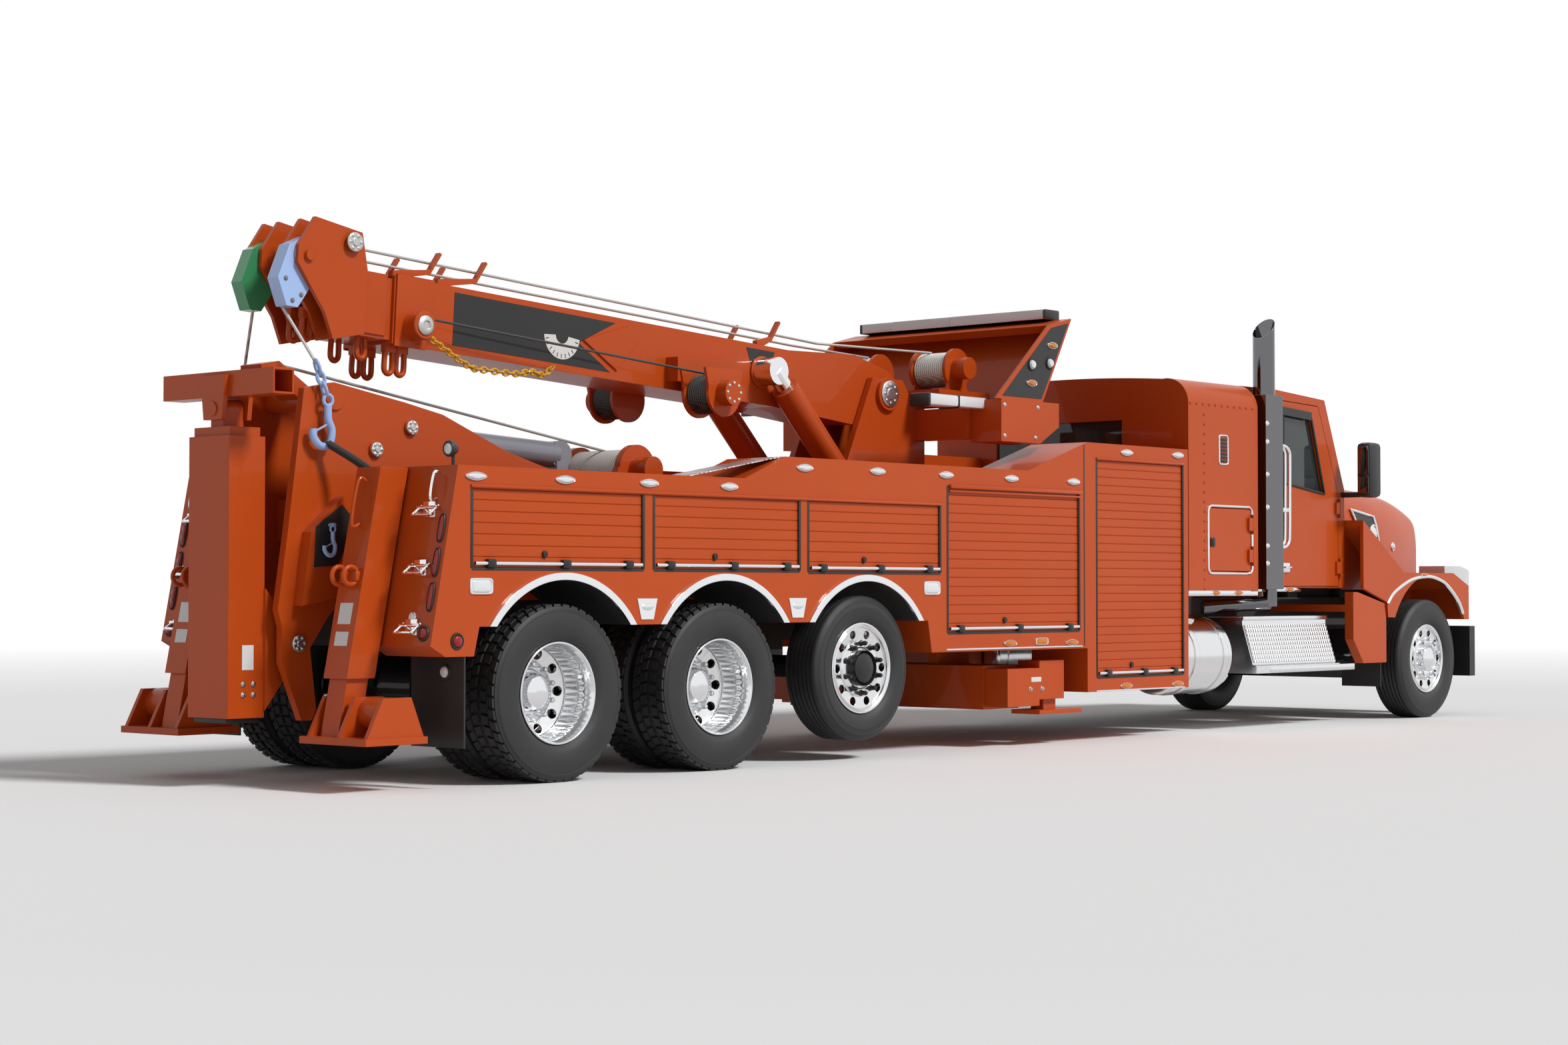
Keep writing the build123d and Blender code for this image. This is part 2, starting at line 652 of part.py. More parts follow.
with BuildPart() as outrigger_housings:
    block((-700, -640), (385, BODY_IN), (RAIL_Z[1], 1750))
    plate([(-1010, 1700), (-700, 1700), (-700, 1150), (-1120, 1150)], COLUMN_Y[0], COLUMN_Y[0] + 25)
    slanted(COLUMN_X, COLUMN_Z, COLUMN_Y)
    slanted(
        (COLUMN_X[0] + LEG_INSET - SLIDE_FIT, COLUMN_X[1] - LEG_INSET + SLIDE_FIT),
        (COLUMN_Z[0] - 5, COLUMN_Z[1] - 40),
        (COLUMN_Y[0] + LEG_INSET - SLIDE_FIT, COLUMN_Y[1] - LEG_INSET + SLIDE_FIT),
        Mode.SUBTRACT,
    )
    sleeve_x = (MID_BEAM_X[0] - SLEEVE_T, MID_BEAM_X[1] + SLEEVE_T)
    sleeve_z = (MID_BEAM_Z[0] - SLEEVE_T, MID_BEAM_Z[1] + SLEEVE_T)
    block(sleeve_x, (0, SLEEVE_END), sleeve_z)
    block(MID_BEAM_X, (RAIL_OUT, RAIL_OUT + 90), (sleeve_z[1], RAIL_Z[1]))
    mirror(about=Plane.XZ)
    block(
        (MID_BEAM_X[0] - SLIDE_FIT, MID_BEAM_X[1] + SLIDE_FIT),
        (-SLEEVE_END - 5, SLEEVE_END + 5),
        (MID_BEAM_Z[0] - SLIDE_FIT, MID_BEAM_Z[1] + SLIDE_FIT),
        Mode.SUBTRACT,
    )
save(outrigger_housings, "outrigger_housings")

for side, hand in ((1, "left"), (-1, "right")):
    with BuildPart() as rear_leg:
        slanted(
            (COLUMN_X[0] + LEG_INSET, COLUMN_X[1] - LEG_INSET),
            (LEG_FOOT_Z + FOOT_T, COLUMN_Z[1] - 400),
            (side * (COLUMN_Y[0] + LEG_INSET), side * (COLUMN_Y[1] - LEG_INSET)),
        )
        block((-1370, -930), (side * 560, side * 1130), (LEG_FOOT_Z, LEG_FOOT_Z + FOOT_T))
        for y in (600, 860, 1090):
            rib = [(-1350, LEG_FOOT_Z + FOOT_T), (-950, LEG_FOOT_Z + FOOT_T), (-1040, 520), (-1240, 520)]
            plate(rib, *sorted((side * y, side * (y + 30))))
        pin(-1140, 430, *sorted((side * 600, side * 1120)), 90)
    save(rear_leg, f"rear_leg_{hand}")

    with BuildPart() as mid_beam:
        block(MID_BEAM_X, (side * 30, side * 1150), MID_BEAM_Z)
        block((MID_BEAM_X[1], MID_BEAM_X[1] + 300), (side * 960, side * 1150), JACK_Z)
        block(
            (JACK_X[0] - SLIDE_FIT, JACK_X[1] + SLIDE_FIT),
            (side * (JACK_Y[0] - SLIDE_FIT), side * (JACK_Y[1] + SLIDE_FIT)),
            (JACK_Z[0] - 5, JACK_Z[1] - 12),
            Mode.SUBTRACT,
        )
    save(mid_beam, f"mid_beam_{hand}")

    with BuildPart() as mid_leg:
        block(JACK_X, (side * JACK_Y[0], side * JACK_Y[1]), (255, JACK_Z[1] - 18))
        block((MID_BEAM_X[1] - 40, MID_BEAM_X[1] + 480), (side * 930, side * 1180), (225, 255))
    save(mid_leg, f"mid_leg_{hand}")

# Turret: round floor, two heel plates, cylinder ears, and the platform that carries winches and pylon
TURRET_OUTLINE = (
    (3967, 2630),
    (4305, 2630),
    (4420, 2480),
    (4560, 2400),
    (4560, TURRET_FLOOR[1]),
    (3500, TURRET_FLOOR[1]),
    (3500, 1800),
    (3679, 2020),
)
ARM_X = (4440, 4600)
ARM_Z = (2200, 2420)
EAR_T = 22
EYE_W = 50
PYLON_Y = (1013, 1033)
CONSOLE_IN = 760

with BuildPart() as turret:
    with Locations((REAR_AXLE_X + SLEW_STATION, 0, sum(TURRET_FLOOR) / 2)):
        Cylinder(640, TURRET_FLOOR[1] - TURRET_FLOOR[0])
    for side in (1, -1):
        plate(TURRET_OUTLINE, *sorted((side * TURRET_PLATE_Y[0], side * TURRET_PLATE_Y[1])))
        pin(*BOOM_PIVOT, *sorted((side * TURRET_PLATE_Y[1], side * (TURRET_PLATE_Y[1] + 30))), 120)
        for near in (LIFT_Y - EYE_W - 1 - EAR_T, LIFT_Y + EYE_W + 1):
            ear = [(LIFT_LOWER[0] - 110, 1740), (LIFT_LOWER[0] + 110, 1740), (LIFT_LOWER[0] + 60, 1940), (LIFT_LOWER[0] - 60, 1940)]
            plate(ear, *sorted((side * near, side * (near + EAR_T))))
        pin(*LIFT_LOWER, *sorted((side * (LIFT_Y - EYE_W - 1), side * (LIFT_Y + EYE_W + 1))), 45)
        block(ARM_X, (side * TURRET_PLATE_Y[1], side * CONSOLE_IN), ARM_Z)
    block((4380, 4980), (-560, 560), (2490, 2560))
    block((4440, 4560), (-TURRET_PLATE_Y[1], TURRET_PLATE_Y[1]), (1740, 2490))
    pin(*BOOM_PIVOT, -TURRET_PLATE_Y[1], TURRET_PLATE_Y[1], PIVOT_R)
save(turret, "turret")

# Light pylon: side plates, sloped back sheet, top beam, consoles, and the lamps' bars
CONSOLE_X = (4490, 5192)
CONSOLE_Z = (2170, 2473)

with BuildPart() as light_pylon:
    for side in (1, -1):
        plate([(5349, 3100), (5071, 3039), (4427, 2473), (4992, 2473)], *sorted((side * PYLON_Y[0], side * PYLON_Y[1])))
        box = [
            (CONSOLE_X[0], CONSOLE_Z[1]),
            (CONSOLE_X[1], CONSOLE_Z[1]),
            (CONSOLE_X[1], 2300),
            (4960, CONSOLE_Z[0]),
            (CONSOLE_X[0], CONSOLE_Z[0]),
        ]
        plate(box, *sorted((side * CONSOLE_IN, side * PYLON_Y[1])))
        block((3860, 4520), (side * 720, side * 880), (ARM_Z[1], 2480))
    plate([(4972, 2473), (4992, 2473), (5349, 3100), (5329, 3100)], -PYLON_Y[0], PYLON_Y[0])
    plate([(5071, 3039), (5110, 2990), (5340, 3085), (5349, 3108)], -PYLON_Y[1], PYLON_Y[1])
    block((5230, 5400), (-888, 888), (3108, 3178))
save(light_pylon, "light_pylon")

# Main winches: two drums side by side on the turret's platform
with BuildPart() as main_winches:
    for side in (1, -1):
        for y in (190, 500):
            pin(4640, 2720, *sorted((side * y, side * (y + 25))), 150)
            plate([(4520, 2560), (4760, 2560), (4720, 2720), (4560, 2720)], *sorted((side * y, side * (y + 25))))
        pin(4640, 2720, *sorted((side * 190, side * 520)), 110)
        pin(4640, 2720, *sorted((side * 525, side * 640)), 80)
save(main_winches, "main_winches")

# Boom base section: heel between the turret's plates, then a square tube open at its mouth
HEEL_R = 190
HEEL_OUTLINE = ((0, HEEL_R), (300, 250), (1020, BOOM_TOP), (1150, BOOM_TOP), (1150, BOOM_LOW), (300, -250), (0, -HEEL_R))
CAVITY_START = 1150

with BuildPart() as boom_outer:
    boom_plate(HEEL_OUTLINE, -BOOM_HALF, BOOM_HALF)
    boom_pin(0, 0, -BOOM_HALF, BOOM_HALF, HEEL_R)
    tube = [(1100, BOOM_TOP), (BOOM_MOUTH, BOOM_TOP), (BOOM_MOUTH, BOOM_LOW), (1100, BOOM_LOW)]
    boom_plate(tube, -BOOM_HALF, BOOM_HALF)
    wall = BOOM_WALL
    cavity = [(CAVITY_START, BOOM_TOP - wall), (BOOM_MOUTH + 5, BOOM_TOP - wall)]
    cavity += [(BOOM_MOUTH + 5, BOOM_LOW + wall), (CAVITY_START, BOOM_LOW + wall)]
    boom_plate(cavity, -BOOM_HALF + wall, BOOM_HALF - wall, Mode.SUBTRACT)
    for side in (1, -1):
        pin(*LIFT_UPPER, *sorted((side * (BOOM_HALF - 5), side * (BOOM_HALF + 15))), 110)
    boom_pin(0, 0, -BOOM_HALF - 5, BOOM_HALF + 5, PIVOT_R + RUNNING_FIT, Mode.SUBTRACT)
save(boom_outer, "boom_outer")

# Boom winches: one drum each side, hung from a bracket on the boom
with BuildPart() as boom_winches:
    for side in (1, -1):
        block((1900, 2500), (side * BOOM_HALF, side * 330), (2480, 2640))
        for y in (320, 540):
            pin(2100, 2400, *sorted((side * y, side * (y + 22))), 155)
            plate([(1960, 2400), (2240, 2400), (2280, 2560), (1920, 2560)], *sorted((side * y, side * (y + 22))))
        pin(2100, 2400, *sorted((side * 320, side * 550)), 115)
        pin(2100, 2400, *sorted((side * 562, side * 650)), 85)
save(boom_winches, "boom_winches")

# Boom inner section: tube in the base section, then the head with its forks for the sheave blocks
INNER_START = 1500
HEAD_END = 4900
HEAD_PIN = (5214, 210)
FORK = ((4780, -190), (5010, -250), (5080, -100), (5290, 160), (5290, 260), (5180, 440), (4830, 400), (4780, 190))
FORK_Y = (88, 118)

with BuildPart() as boom_inner:
    gap = BOOM_WALL + SLIDE_FIT
    half = BOOM_HALF - gap
    top, low = BOOM_TOP - gap, BOOM_LOW + gap
    boom_plate([(INNER_START, top), (HEAD_END, top), (HEAD_END, low), (INNER_START, low)], -half, half)
    head = [(4598, 190), (HEAD_END, 190), (HEAD_END, -175), (4598, -175)]
    boom_plate(head, -215, 215)
    for side in (1, -1):
        for y in (FORK_Y[0], FORK_Y[0] + 135):
            boom_plate(FORK, *sorted((side * y, side * (y + 27))))
        boom_pin(*HEAD_PIN, *sorted((side * 80, side * 270)), 32)
    boom_pin(4990, 60, -250, 250, 70)
save(boom_inner, "boom_inner")

# Sheave blocks: a cheeked sheave that hangs from each fork's pin
with BuildPart() as sheave_blocks:
    for side in (1, -1):
        block_y = sorted((side * (FORK_Y[0] + 32), side * (FORK_Y[0] + 130)))
        cheek = [(5120, 260), (5200, 330), (5330, 260), (5400, 60), (5330, -95), (5250, -95), (5150, 60)]
        boom_plate(cheek, *block_y)
        boom_pin(*HEAD_PIN, *block_y, 32 + RUNNING_FIT, Mode.SUBTRACT)
save(sheave_blocks, "sheave_blocks")

# Lift cylinders: barrels on the turret's ears, rods to the boom's side bosses
ROD_EYE_R = 95
BARREL_END = 880

with BuildPart() as lift_barrels:
    lower = Vector(LIFT_LOWER[0], 0, LIFT_LOWER[1])
    way = (Vector(LIFT_UPPER[0], 0, LIFT_UPPER[1]) - lower).normalized()
    start = lower + way * 120
    end = lower + way * BARREL_END
    for side in (1, -1):
        y = side * LIFT_Y
        rod((start.X, y, start.Z), (end.X, y, end.Z), LIFT_BARREL_R)
        rod((lower.X, y, lower.Z), (start.X, y, start.Z), EYE_W - 2)
        pin(*LIFT_LOWER, y - EYE_W, y + EYE_W, 80)
        pin(*LIFT_LOWER, y - EYE_W - 5, y + EYE_W + 5, 45 + RUNNING_FIT, Mode.SUBTRACT)
        bore = lower + way * 200
        rod((bore.X, y, bore.Z), (end.X + way.X * 5, y, end.Z + way.Z * 5), LIFT_ROD_R + SEAT_GAP, Mode.SUBTRACT)
save(lift_barrels, "lift_barrels")

with BuildPart() as lift_rods:
    foot = lower + way * 220
    for side in (1, -1):
        y = side * LIFT_Y
        rod((foot.X, y, foot.Z), (LIFT_UPPER[0], y, LIFT_UPPER[1]), LIFT_ROD_R)
        inner = BOOM_HALF + 15 + SEAT_GAP
        pin(*LIFT_UPPER, *sorted((side * inner, side * (LIFT_Y + EYE_W))), ROD_EYE_R)
save(lift_rods, "lift_rods")

# Fuel tanks: a round tank on each side, strapped to the rail
TANK_R = 300
TANK_Y = 890
TANK_X = (6650, 7290)

with BuildPart() as fuel_tanks:
    rod((TANK_X[0], TANK_Y, 600), (TANK_X[1], TANK_Y, 600), TANK_R)
    for station in (6760, 7170):
        rod((station, TANK_Y, 600), (station + 60, TANK_Y, 600), TANK_R + 8)
        block((station, station + 60), (RAIL_OUT, TANK_Y), (770, 850))
    mirror(about=Plane.XZ)
save(fuel_tanks, "fuel_tanks")

# Step boxes below the doors
with BuildPart() as cab_steps:
    steps = [(560, 895), (1120, 895), (1120, 840), (1215, 520), (1250, 510), (1250, 450), (560, 450)]
    cross_section(steps, 7560, 8860)
    block((7560, 8860), (RAIL_OUT, 560), (780, 880))
    block((8860, 9110), (700, 1250), (450, 500))
    mirror(about=Plane.XZ)
save(cab_steps, "cab_steps")

# Exhaust stack on the right: guard box, straight pipe with a slanted mouth, elbow below
STACK_X = 7830
STACK_Y = -1165
STACK_R = 88
STACK_TOP = 3300

with BuildPart() as exhaust_stack:
    block((7700, 7960), (STACK_Y - 95, STACK_Y + 95), (1118, 2670))
    rod((STACK_X, STACK_Y, 2670), (STACK_X, STACK_Y, STACK_TOP), STACK_R)
    rod((STACK_X, STACK_Y, 2700), (STACK_X, STACK_Y, STACK_TOP + 5), STACK_R - 4, Mode.SUBTRACT)
    tip = [(STACK_X - STACK_R - 5, 3121), (STACK_X + STACK_R + 5, STACK_TOP), (STACK_X - STACK_R - 5, STACK_TOP + 20)]
    plate(tip, STACK_Y - 120, STACK_Y + 120, Mode.SUBTRACT)
    rod((7900, STACK_Y, 1118), (7900, STACK_Y, 980), 60)
    rod((7900, STACK_Y, 1010), (7480, STACK_Y + 365, 975), 55)
    block((7720, 7940), (STACK_Y + 95, -CAB_OUT), (1300, 1360))
    block((7720, 7940), (STACK_Y + 95, -CAB_OUT), (2300, 2360))
save(exhaust_stack, "exhaust_stack")

# Sleeper: hollow box with a crowned roof, a rear window and a luggage hatch each side
HATCH = (6917, 7533, 1255, 1754)
HATCH_T = 30
HATCH_HINGES = (1380, 1630)


def sleeper_section(station, inset):
    """The sleeper's outline seen from behind at a station, with a crowned roof."""
    side, low, roof = SLEEPER_OUT - inset, SLEEPER_LOW + inset, 2785 - inset
    with BuildSketch(across(station)) as section:
        with BuildLine():
            Polyline((-side, 2560), (-side, low), (side, low), (side, 2560))
            ThreePointArc((side, 2560), (side - 60, roof - 95), (side - 230, roof - 40))
            ThreePointArc((side - 230, roof - 40), (0, roof), (-side + 230, roof - 40))
            ThreePointArc((-side + 230, roof - 40), (-side + 60, roof - 95), (-side, 2560))
        make_face()
    return section.sketch


def across(station):
    """A plane facing forward at a station, with x to the left and y up."""
    return Plane(origin=(REAR_AXLE_X + station, 0, 0), x_dir=(0, 1, 0), z_dir=(1, 0, 0))


with BuildPart() as sleeper:
    length = SLEEPER_X[1] - SLEEPER_X[0]
    extrude(sleeper_section(SLEEPER_X[0], 0), amount=length)
    hollow = sleeper_section(SLEEPER_X[0] + SLEEPER_WALL, SLEEPER_WALL)
    extrude(hollow, amount=length - 2 * SLEEPER_WALL, mode=Mode.SUBTRACT)
    block((SLEEPER_X[0] - 5, SLEEPER_X[0] + 60), (-610, 610), (2100, 2440), Mode.SUBTRACT)
    block((SLEEPER_X[1] - 60, SLEEPER_X[1] + 5), (-600, 600), (1400, 2500), Mode.SUBTRACT)
    for side in (1, -1):
        block(HATCH[:2], (side * (SLEEPER_OUT - 80), side * (SLEEPER_OUT + 5)), HATCH[2:], Mode.SUBTRACT)
        hinge_seat(HATCH[1] + DOOR_GAP, SLEEPER_OUT, side, HATCH_HINGES)
    for station in (6800, 7400):
        block((station, station + 120), (-RAIL_OUT, RAIL_OUT), (RAIL_Z[1], SLEEPER_LOW))
save(sleeper, "sleeper")

for side, hand in ((1, "left"), (-1, "right")):
    with BuildPart() as hatch:
        block(
            (HATCH[0] + DOOR_GAP, HATCH[1] - DOOR_GAP),
            (side * (SLEEPER_OUT - HATCH_T), side * SLEEPER_OUT),
            (HATCH[2] + DOOR_GAP, HATCH[3] - DOOR_GAP),
        )
        hinge_leaf(HATCH[1] + DOOR_GAP, SLEEPER_OUT, side, HATCH_HINGES)
    save(hatch, f"hatch_{hand}")

# Cab: hollow shell with door openings, windscreen and a way through to the sleeper
CAB_OUTLINE = ((CAB_X[0], CAB_LOW), (CAB_X[1], CAB_LOW), (CAB_X[1], 1960), (8966, 2700), (8184, 2746), (CAB_X[0], 2746))
DOOR_OUTLINE = ((8250, 1145), (9180, 1145), (9180, 1930), (8860, 2640), (8250, 2660))
WINDOW_OUTLINE = ((8300, 1990), (8955, 1915), (8745, 2540), (8300, 2570))
SCREEN_Z = (2010, 2620)
SCREEN_HALF = 930
DOOR_HINGE = 9192
DOOR_HINGES = (1300, 1800)


def outline_plate(points, y_low, y_high, grow, mode=Mode.ADD):
    """A side outline grown by a clearance, extruded across the truck."""
    with BuildSketch(side_plane(y_high)) as outline:
        Polygon(*points, align=None)
        if grow:
            offset(amount=grow, kind=Kind.INTERSECTION)
    extrude(outline.sketch, amount=y_high - y_low, mode=mode)


with BuildPart() as cab:
    outline_plate(CAB_OUTLINE, -CAB_OUT, CAB_OUT, 0)
    outline_plate(CAB_OUTLINE, -CAB_OUT + CAB_WALL, CAB_OUT - CAB_WALL, -CAB_WALL, Mode.SUBTRACT)
    for side in (1, -1):
        cut = sorted((side * (CAB_OUT - CAB_WALL - 1), side * (CAB_OUT + 5)))
        outline_plate(DOOR_OUTLINE, *cut, DOOR_GAP, Mode.SUBTRACT)
    block((8900, CAB_X[1] + 10), (-SCREEN_HALF, SCREEN_HALF), SCREEN_Z, Mode.SUBTRACT)
    block((CAB_X[0] - 5, CAB_X[0] + CAB_WALL + 5), (-600, 600), (1400, 2500), Mode.SUBTRACT)
    for side in (1, -1):
        lower = [(9200, 1095), (9660, 1000), (9690, 860), (9690, 497), (9300, 497), (9130, 700), (9130, 1095)]
        plate(lower, *sorted((side * 1150, side * 1230)))
        block((9130, 9200), (side * RAIL_OUT, side * 1160), (930, 990))
        hinge_seat(DOOR_HINGE, CAB_OUT, side, DOOR_HINGES)
    for station in (7800, 8950):
        block((station, station + 120), (-RAIL_OUT, RAIL_OUT), (RAIL_Z[1], CAB_LOW))
save(cab, "cab")

for side, hand in ((1, "left"), (-1, "right")):
    low, high = sorted((side * (CAB_OUT - 52), side * CAB_OUT))
    with BuildPart() as door:
        plate(DOOR_OUTLINE, low, high)
        plate(WINDOW_OUTLINE, low - 5, high + 5, Mode.SUBTRACT)
        hinge_leaf(DOOR_HINGE, CAB_OUT, side, DOOR_HINGES)
    save(door, f"door_{hand}")
    with BuildPart() as glass:
        outline_plate(WINDOW_OUTLINE, *sorted((side * (CAB_OUT - 30), side * (CAB_OUT - 24))), -SEAT_GAP)
    save(glass, f"door_glass_{hand}")

# Cab glass: the sloped windscreen and the sleeper's rear window
with BuildPart() as cab_glass:
    slope = (8966 - CAB_X[1]) / (2700 - 1960)
    low, high = SCREEN_Z[0] + SEAT_GAP, SCREEN_Z[1] - SEAT_GAP
    base = CAB_X[1] + slope * (low - 1960) - 30
    roof = CAB_X[1] + slope * (high - 1960) - 30
    plate([(base, low), (roof, high), (roof + 8, high), (base + 8, low)], -SCREEN_HALF + SEAT_GAP, SCREEN_HALF - SEAT_GAP)
    block((SLEEPER_X[0] + 20, SLEEPER_X[0] + 26), (-610 + SEAT_GAP, 610 - SEAT_GAP), (2100 + SEAT_GAP, 2440 - SEAT_GAP))
save(cab_glass, "cab_glass")

# Cab interior: two seats, the dash and the steering wheel
with BuildPart() as cab_interior:
    floor = CAB_LOW + CAB_WALL
    for y in (480, -480):
        block((8250, 8450), (y - 130, y + 130), (floor, floor + 330))
        block((8180, 8720), (y - 250, y + 250), (floor + 330, floor + 450))
        plate([(8180, floor + 450), (8300, floor + 450), (8180, floor + 1120), (8070, floor + 1120)], y - 240, y + 240)
    block((8990, CAB_X[1] - CAB_WALL), (-CAB_OUT + CAB_WALL, CAB_OUT - CAB_WALL), (1560, 1900))
    hub = (8800, 480, 1960)
    rod((9050, 480, 1760), hub, 35)
    rod((8780, 480, 1976), hub, 230)
    rod((8778, 480, 1978), (8802, 480, 1958), 200, Mode.SUBTRACT)
    rod((9050, 480, 1760), (8780, 480, 1976), 35)
    for turn in (0, 1):
        block((8770, 8812), (470, 490) if turn else (270, 690), (1950, 1985) if turn else (1960, 1975))
save(cab_interior, "cab_interior")

# Mirrors on arms from the cowl
with BuildPart() as mirrors:
    block((9200, 9400), (1220, 1360), (1890, 2350))
    rod((9255, CAB_OUT, 1915), (9255, 1230, 1915), 24)
    mirror(about=Plane.XZ)
save(mirrors, "mirrors")

# Hood: hollow nose with fenders, hinged low at the front
HOOD_REAR = 9296
NOSE_OUTLINE = ((HOOD_REAR, 1125), (HOOD_REAR, 2010), (10090, 1957), (10623, 1899), (11124, 1739), (11190, 1591), (11190, 850), (10950, 850), (10950, 1125))
FENDER_TOP = 1262
HOOD_HINGE = (11330, 830)
HOOD_PIN_R = 15

with BuildPart() as fenders:
    outer = [
        (HOOD_REAR, 1125),
        (9700, 1010),
        (9720, 880),
        (11190, 850),
        (11190, 1150),
        (10900, FENDER_TOP),
        (10000, FENDER_TOP),
        (HOOD_REAR, 1700),
    ]
    plate(outer, 650, 1235)
    hollow = [
        (HOOD_REAR - 5, 900),
        (HOOD_REAR - 5, 1660),
        (10010, FENDER_TOP - 35),
        (10880, FENDER_TOP - 35),
        (11160, 1120),
        (11160, 800),
        (9700, 800),
    ]
    plate(hollow, 640, 1205, Mode.SUBTRACT)
    pin(STEER_STATION, HUB_Z, 640, 1240, 722, Mode.SUBTRACT)
    mirror(about=Plane.XZ)

with BuildPart() as hood:
    plate(NOSE_OUTLINE, -680, 680)
    hollow = [
        (HOOD_REAR - 50, 800),
        (HOOD_REAR - 50, 1975),
        (10090, 1925),
        (10610, 1867),
        (11100, 1712),
        (11155, 1580),
        (11155, 800),
    ]
    plate(hollow, -650, 650, Mode.SUBTRACT)
    add(fenders.part)
    for side in (1, -1):
        arm = [(11185, 852), (11185, 892), (11330, 852), (11352, 830), (11330, 808)]
        plate(arm, *sorted((side * 335, side * 355)))
        pin(*HOOD_HINGE, *sorted((side * 330, side * 360)), HOOD_PIN_R + RUNNING_FIT, Mode.SUBTRACT)
save(hood, "hood")

with BuildPart() as head_lamps:
    lamp = [
        (10900, FENDER_TOP + SEAT_GAP),
        (11190 + SEAT_GAP, 1150),
        (11360, 1150),
        (11360, 1290),
        (11200, 1326),
        (10900, 1326),
    ]
    plate(lamp, 900, 1150)
    mirror(about=Plane.XZ)
    block((11190, 11215), (-560, 560), (900, 1560))
save(head_lamps, "head_lamps")

# Front bumper: full width beam with swept ends
with BuildPart() as bumper:
    ends = [(11230, 1220), (11330, 1220), (FRONT_END, 1050), (FRONT_END, -1050), (11330, -1220), (11230, -1220)]
    with BuildSketch(Plane(origin=(REAR_AXLE_X, 0, 345))):
        Polygon(*ends, align=None)
    extrude(amount=445)
    for side in (1, -1):
        block((FRAME_ENDS[1], 11230), (side * (RAIL_OUT - RAIL_FLANGE), side * RAIL_OUT), (560, 790))
        ear = [(11295, 785), (11365, 785), (11350, 848), (11310, 848)]
        plate(ear, *sorted((side * 305, side * 330)))
        pin(*HOOD_HINGE, *sorted((side * 305, side * 365)), HOOD_PIN_R)
save(bumper, "bumper")
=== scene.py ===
# %% [markdown]
# # A heavy tow truck, dressed for its portrait
# The truck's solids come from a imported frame: every panel, wheel, boom and leg already stands in its
# real place, in metres, with +X forward, +Y left and +Z up. This lesson gives each surface its finish,
# and adds what is too small or too decorative for the solids: tread, lamps, ropes, hooks and seals.

# %% Load the frame
import json
import math

import bmesh
import bpy
from mathutils import Matrix, Vector
from mathutils.bvhtree import BVHTree


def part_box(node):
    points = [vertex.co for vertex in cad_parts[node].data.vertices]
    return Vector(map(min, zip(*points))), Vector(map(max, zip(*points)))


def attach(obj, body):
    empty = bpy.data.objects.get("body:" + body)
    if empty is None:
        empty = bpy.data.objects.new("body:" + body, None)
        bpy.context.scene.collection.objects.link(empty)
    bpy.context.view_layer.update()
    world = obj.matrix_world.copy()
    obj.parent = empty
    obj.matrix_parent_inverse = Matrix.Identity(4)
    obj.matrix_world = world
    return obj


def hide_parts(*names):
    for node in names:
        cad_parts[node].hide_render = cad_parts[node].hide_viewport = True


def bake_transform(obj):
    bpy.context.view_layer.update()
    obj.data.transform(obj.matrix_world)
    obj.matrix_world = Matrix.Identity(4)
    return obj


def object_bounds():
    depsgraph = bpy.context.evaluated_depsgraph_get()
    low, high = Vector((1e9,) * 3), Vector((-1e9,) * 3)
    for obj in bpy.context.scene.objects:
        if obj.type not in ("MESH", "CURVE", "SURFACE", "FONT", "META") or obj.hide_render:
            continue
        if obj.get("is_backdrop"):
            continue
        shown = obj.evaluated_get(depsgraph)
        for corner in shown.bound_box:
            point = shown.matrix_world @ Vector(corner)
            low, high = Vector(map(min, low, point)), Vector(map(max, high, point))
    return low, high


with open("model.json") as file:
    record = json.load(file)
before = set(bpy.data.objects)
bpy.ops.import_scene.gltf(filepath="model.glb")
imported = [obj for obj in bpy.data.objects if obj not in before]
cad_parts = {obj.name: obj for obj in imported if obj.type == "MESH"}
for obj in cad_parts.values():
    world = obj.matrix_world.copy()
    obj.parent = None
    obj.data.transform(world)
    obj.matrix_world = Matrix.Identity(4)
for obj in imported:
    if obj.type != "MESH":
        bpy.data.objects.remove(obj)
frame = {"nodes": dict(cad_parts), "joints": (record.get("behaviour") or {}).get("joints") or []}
cad_low, cad_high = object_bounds()
nodes = frame["nodes"]
JOINTS = {joint["name"]: joint for joint in frame["joints"]}
REAR_AXLE_X = JOINTS["spin_drive_rear_left"]["pos_m"][0]


# %% [markdown]
# ## Places
# A truck is laid out from its rear drive axle, so every lengthwise place below is a station: metres
# forward of that axle. A small helper turns a station into a point of the shared frame.

# %% Places
def at(station, y, z):
    """The point at a station, a distance to the left and a height."""
    return Vector((REAR_AXLE_X + station, y, z))


print("rear drive axle at x =", round(REAR_AXLE_X, 3))


# %% [markdown]
# ## Shader maths in plain Python
# A procedural finish is a small sum: a mask times a colour, a noise added to a roughness. Clicking Math
# nodes together hides that sum, so a thin class wraps a socket and lets `1 - mask * 0.3` build the nodes.

# %% Sockets that add and multiply
class Value:
    """A number socket that takes part in sums."""

    def __init__(self, socket):
        self.socket = socket

    def math(self, operation, first, second=0.0):
        """A Math node on two values, each a socket or a plain number."""
        tree = self.socket.id_data
        node = tree.nodes.new("ShaderNodeMath")
        node.operation = operation
        for slot, value in zip(node.inputs, (first, second)):
            if isinstance(value, Value):
                tree.links.new(value.socket, slot)
            else:
                slot.default_value = value
        return Value(node.outputs[0])

    def __add__(self, other):
        return self.math("ADD", self, other)

    def __rsub__(self, other):
        return self.math("SUBTRACT", other, self)

    def __mul__(self, other):
        return self.math("MULTIPLY", self, other)

    def __pow__(self, other):
        return self.math("POWER", self, other)

    __radd__ = __add__
    __rmul__ = __mul__


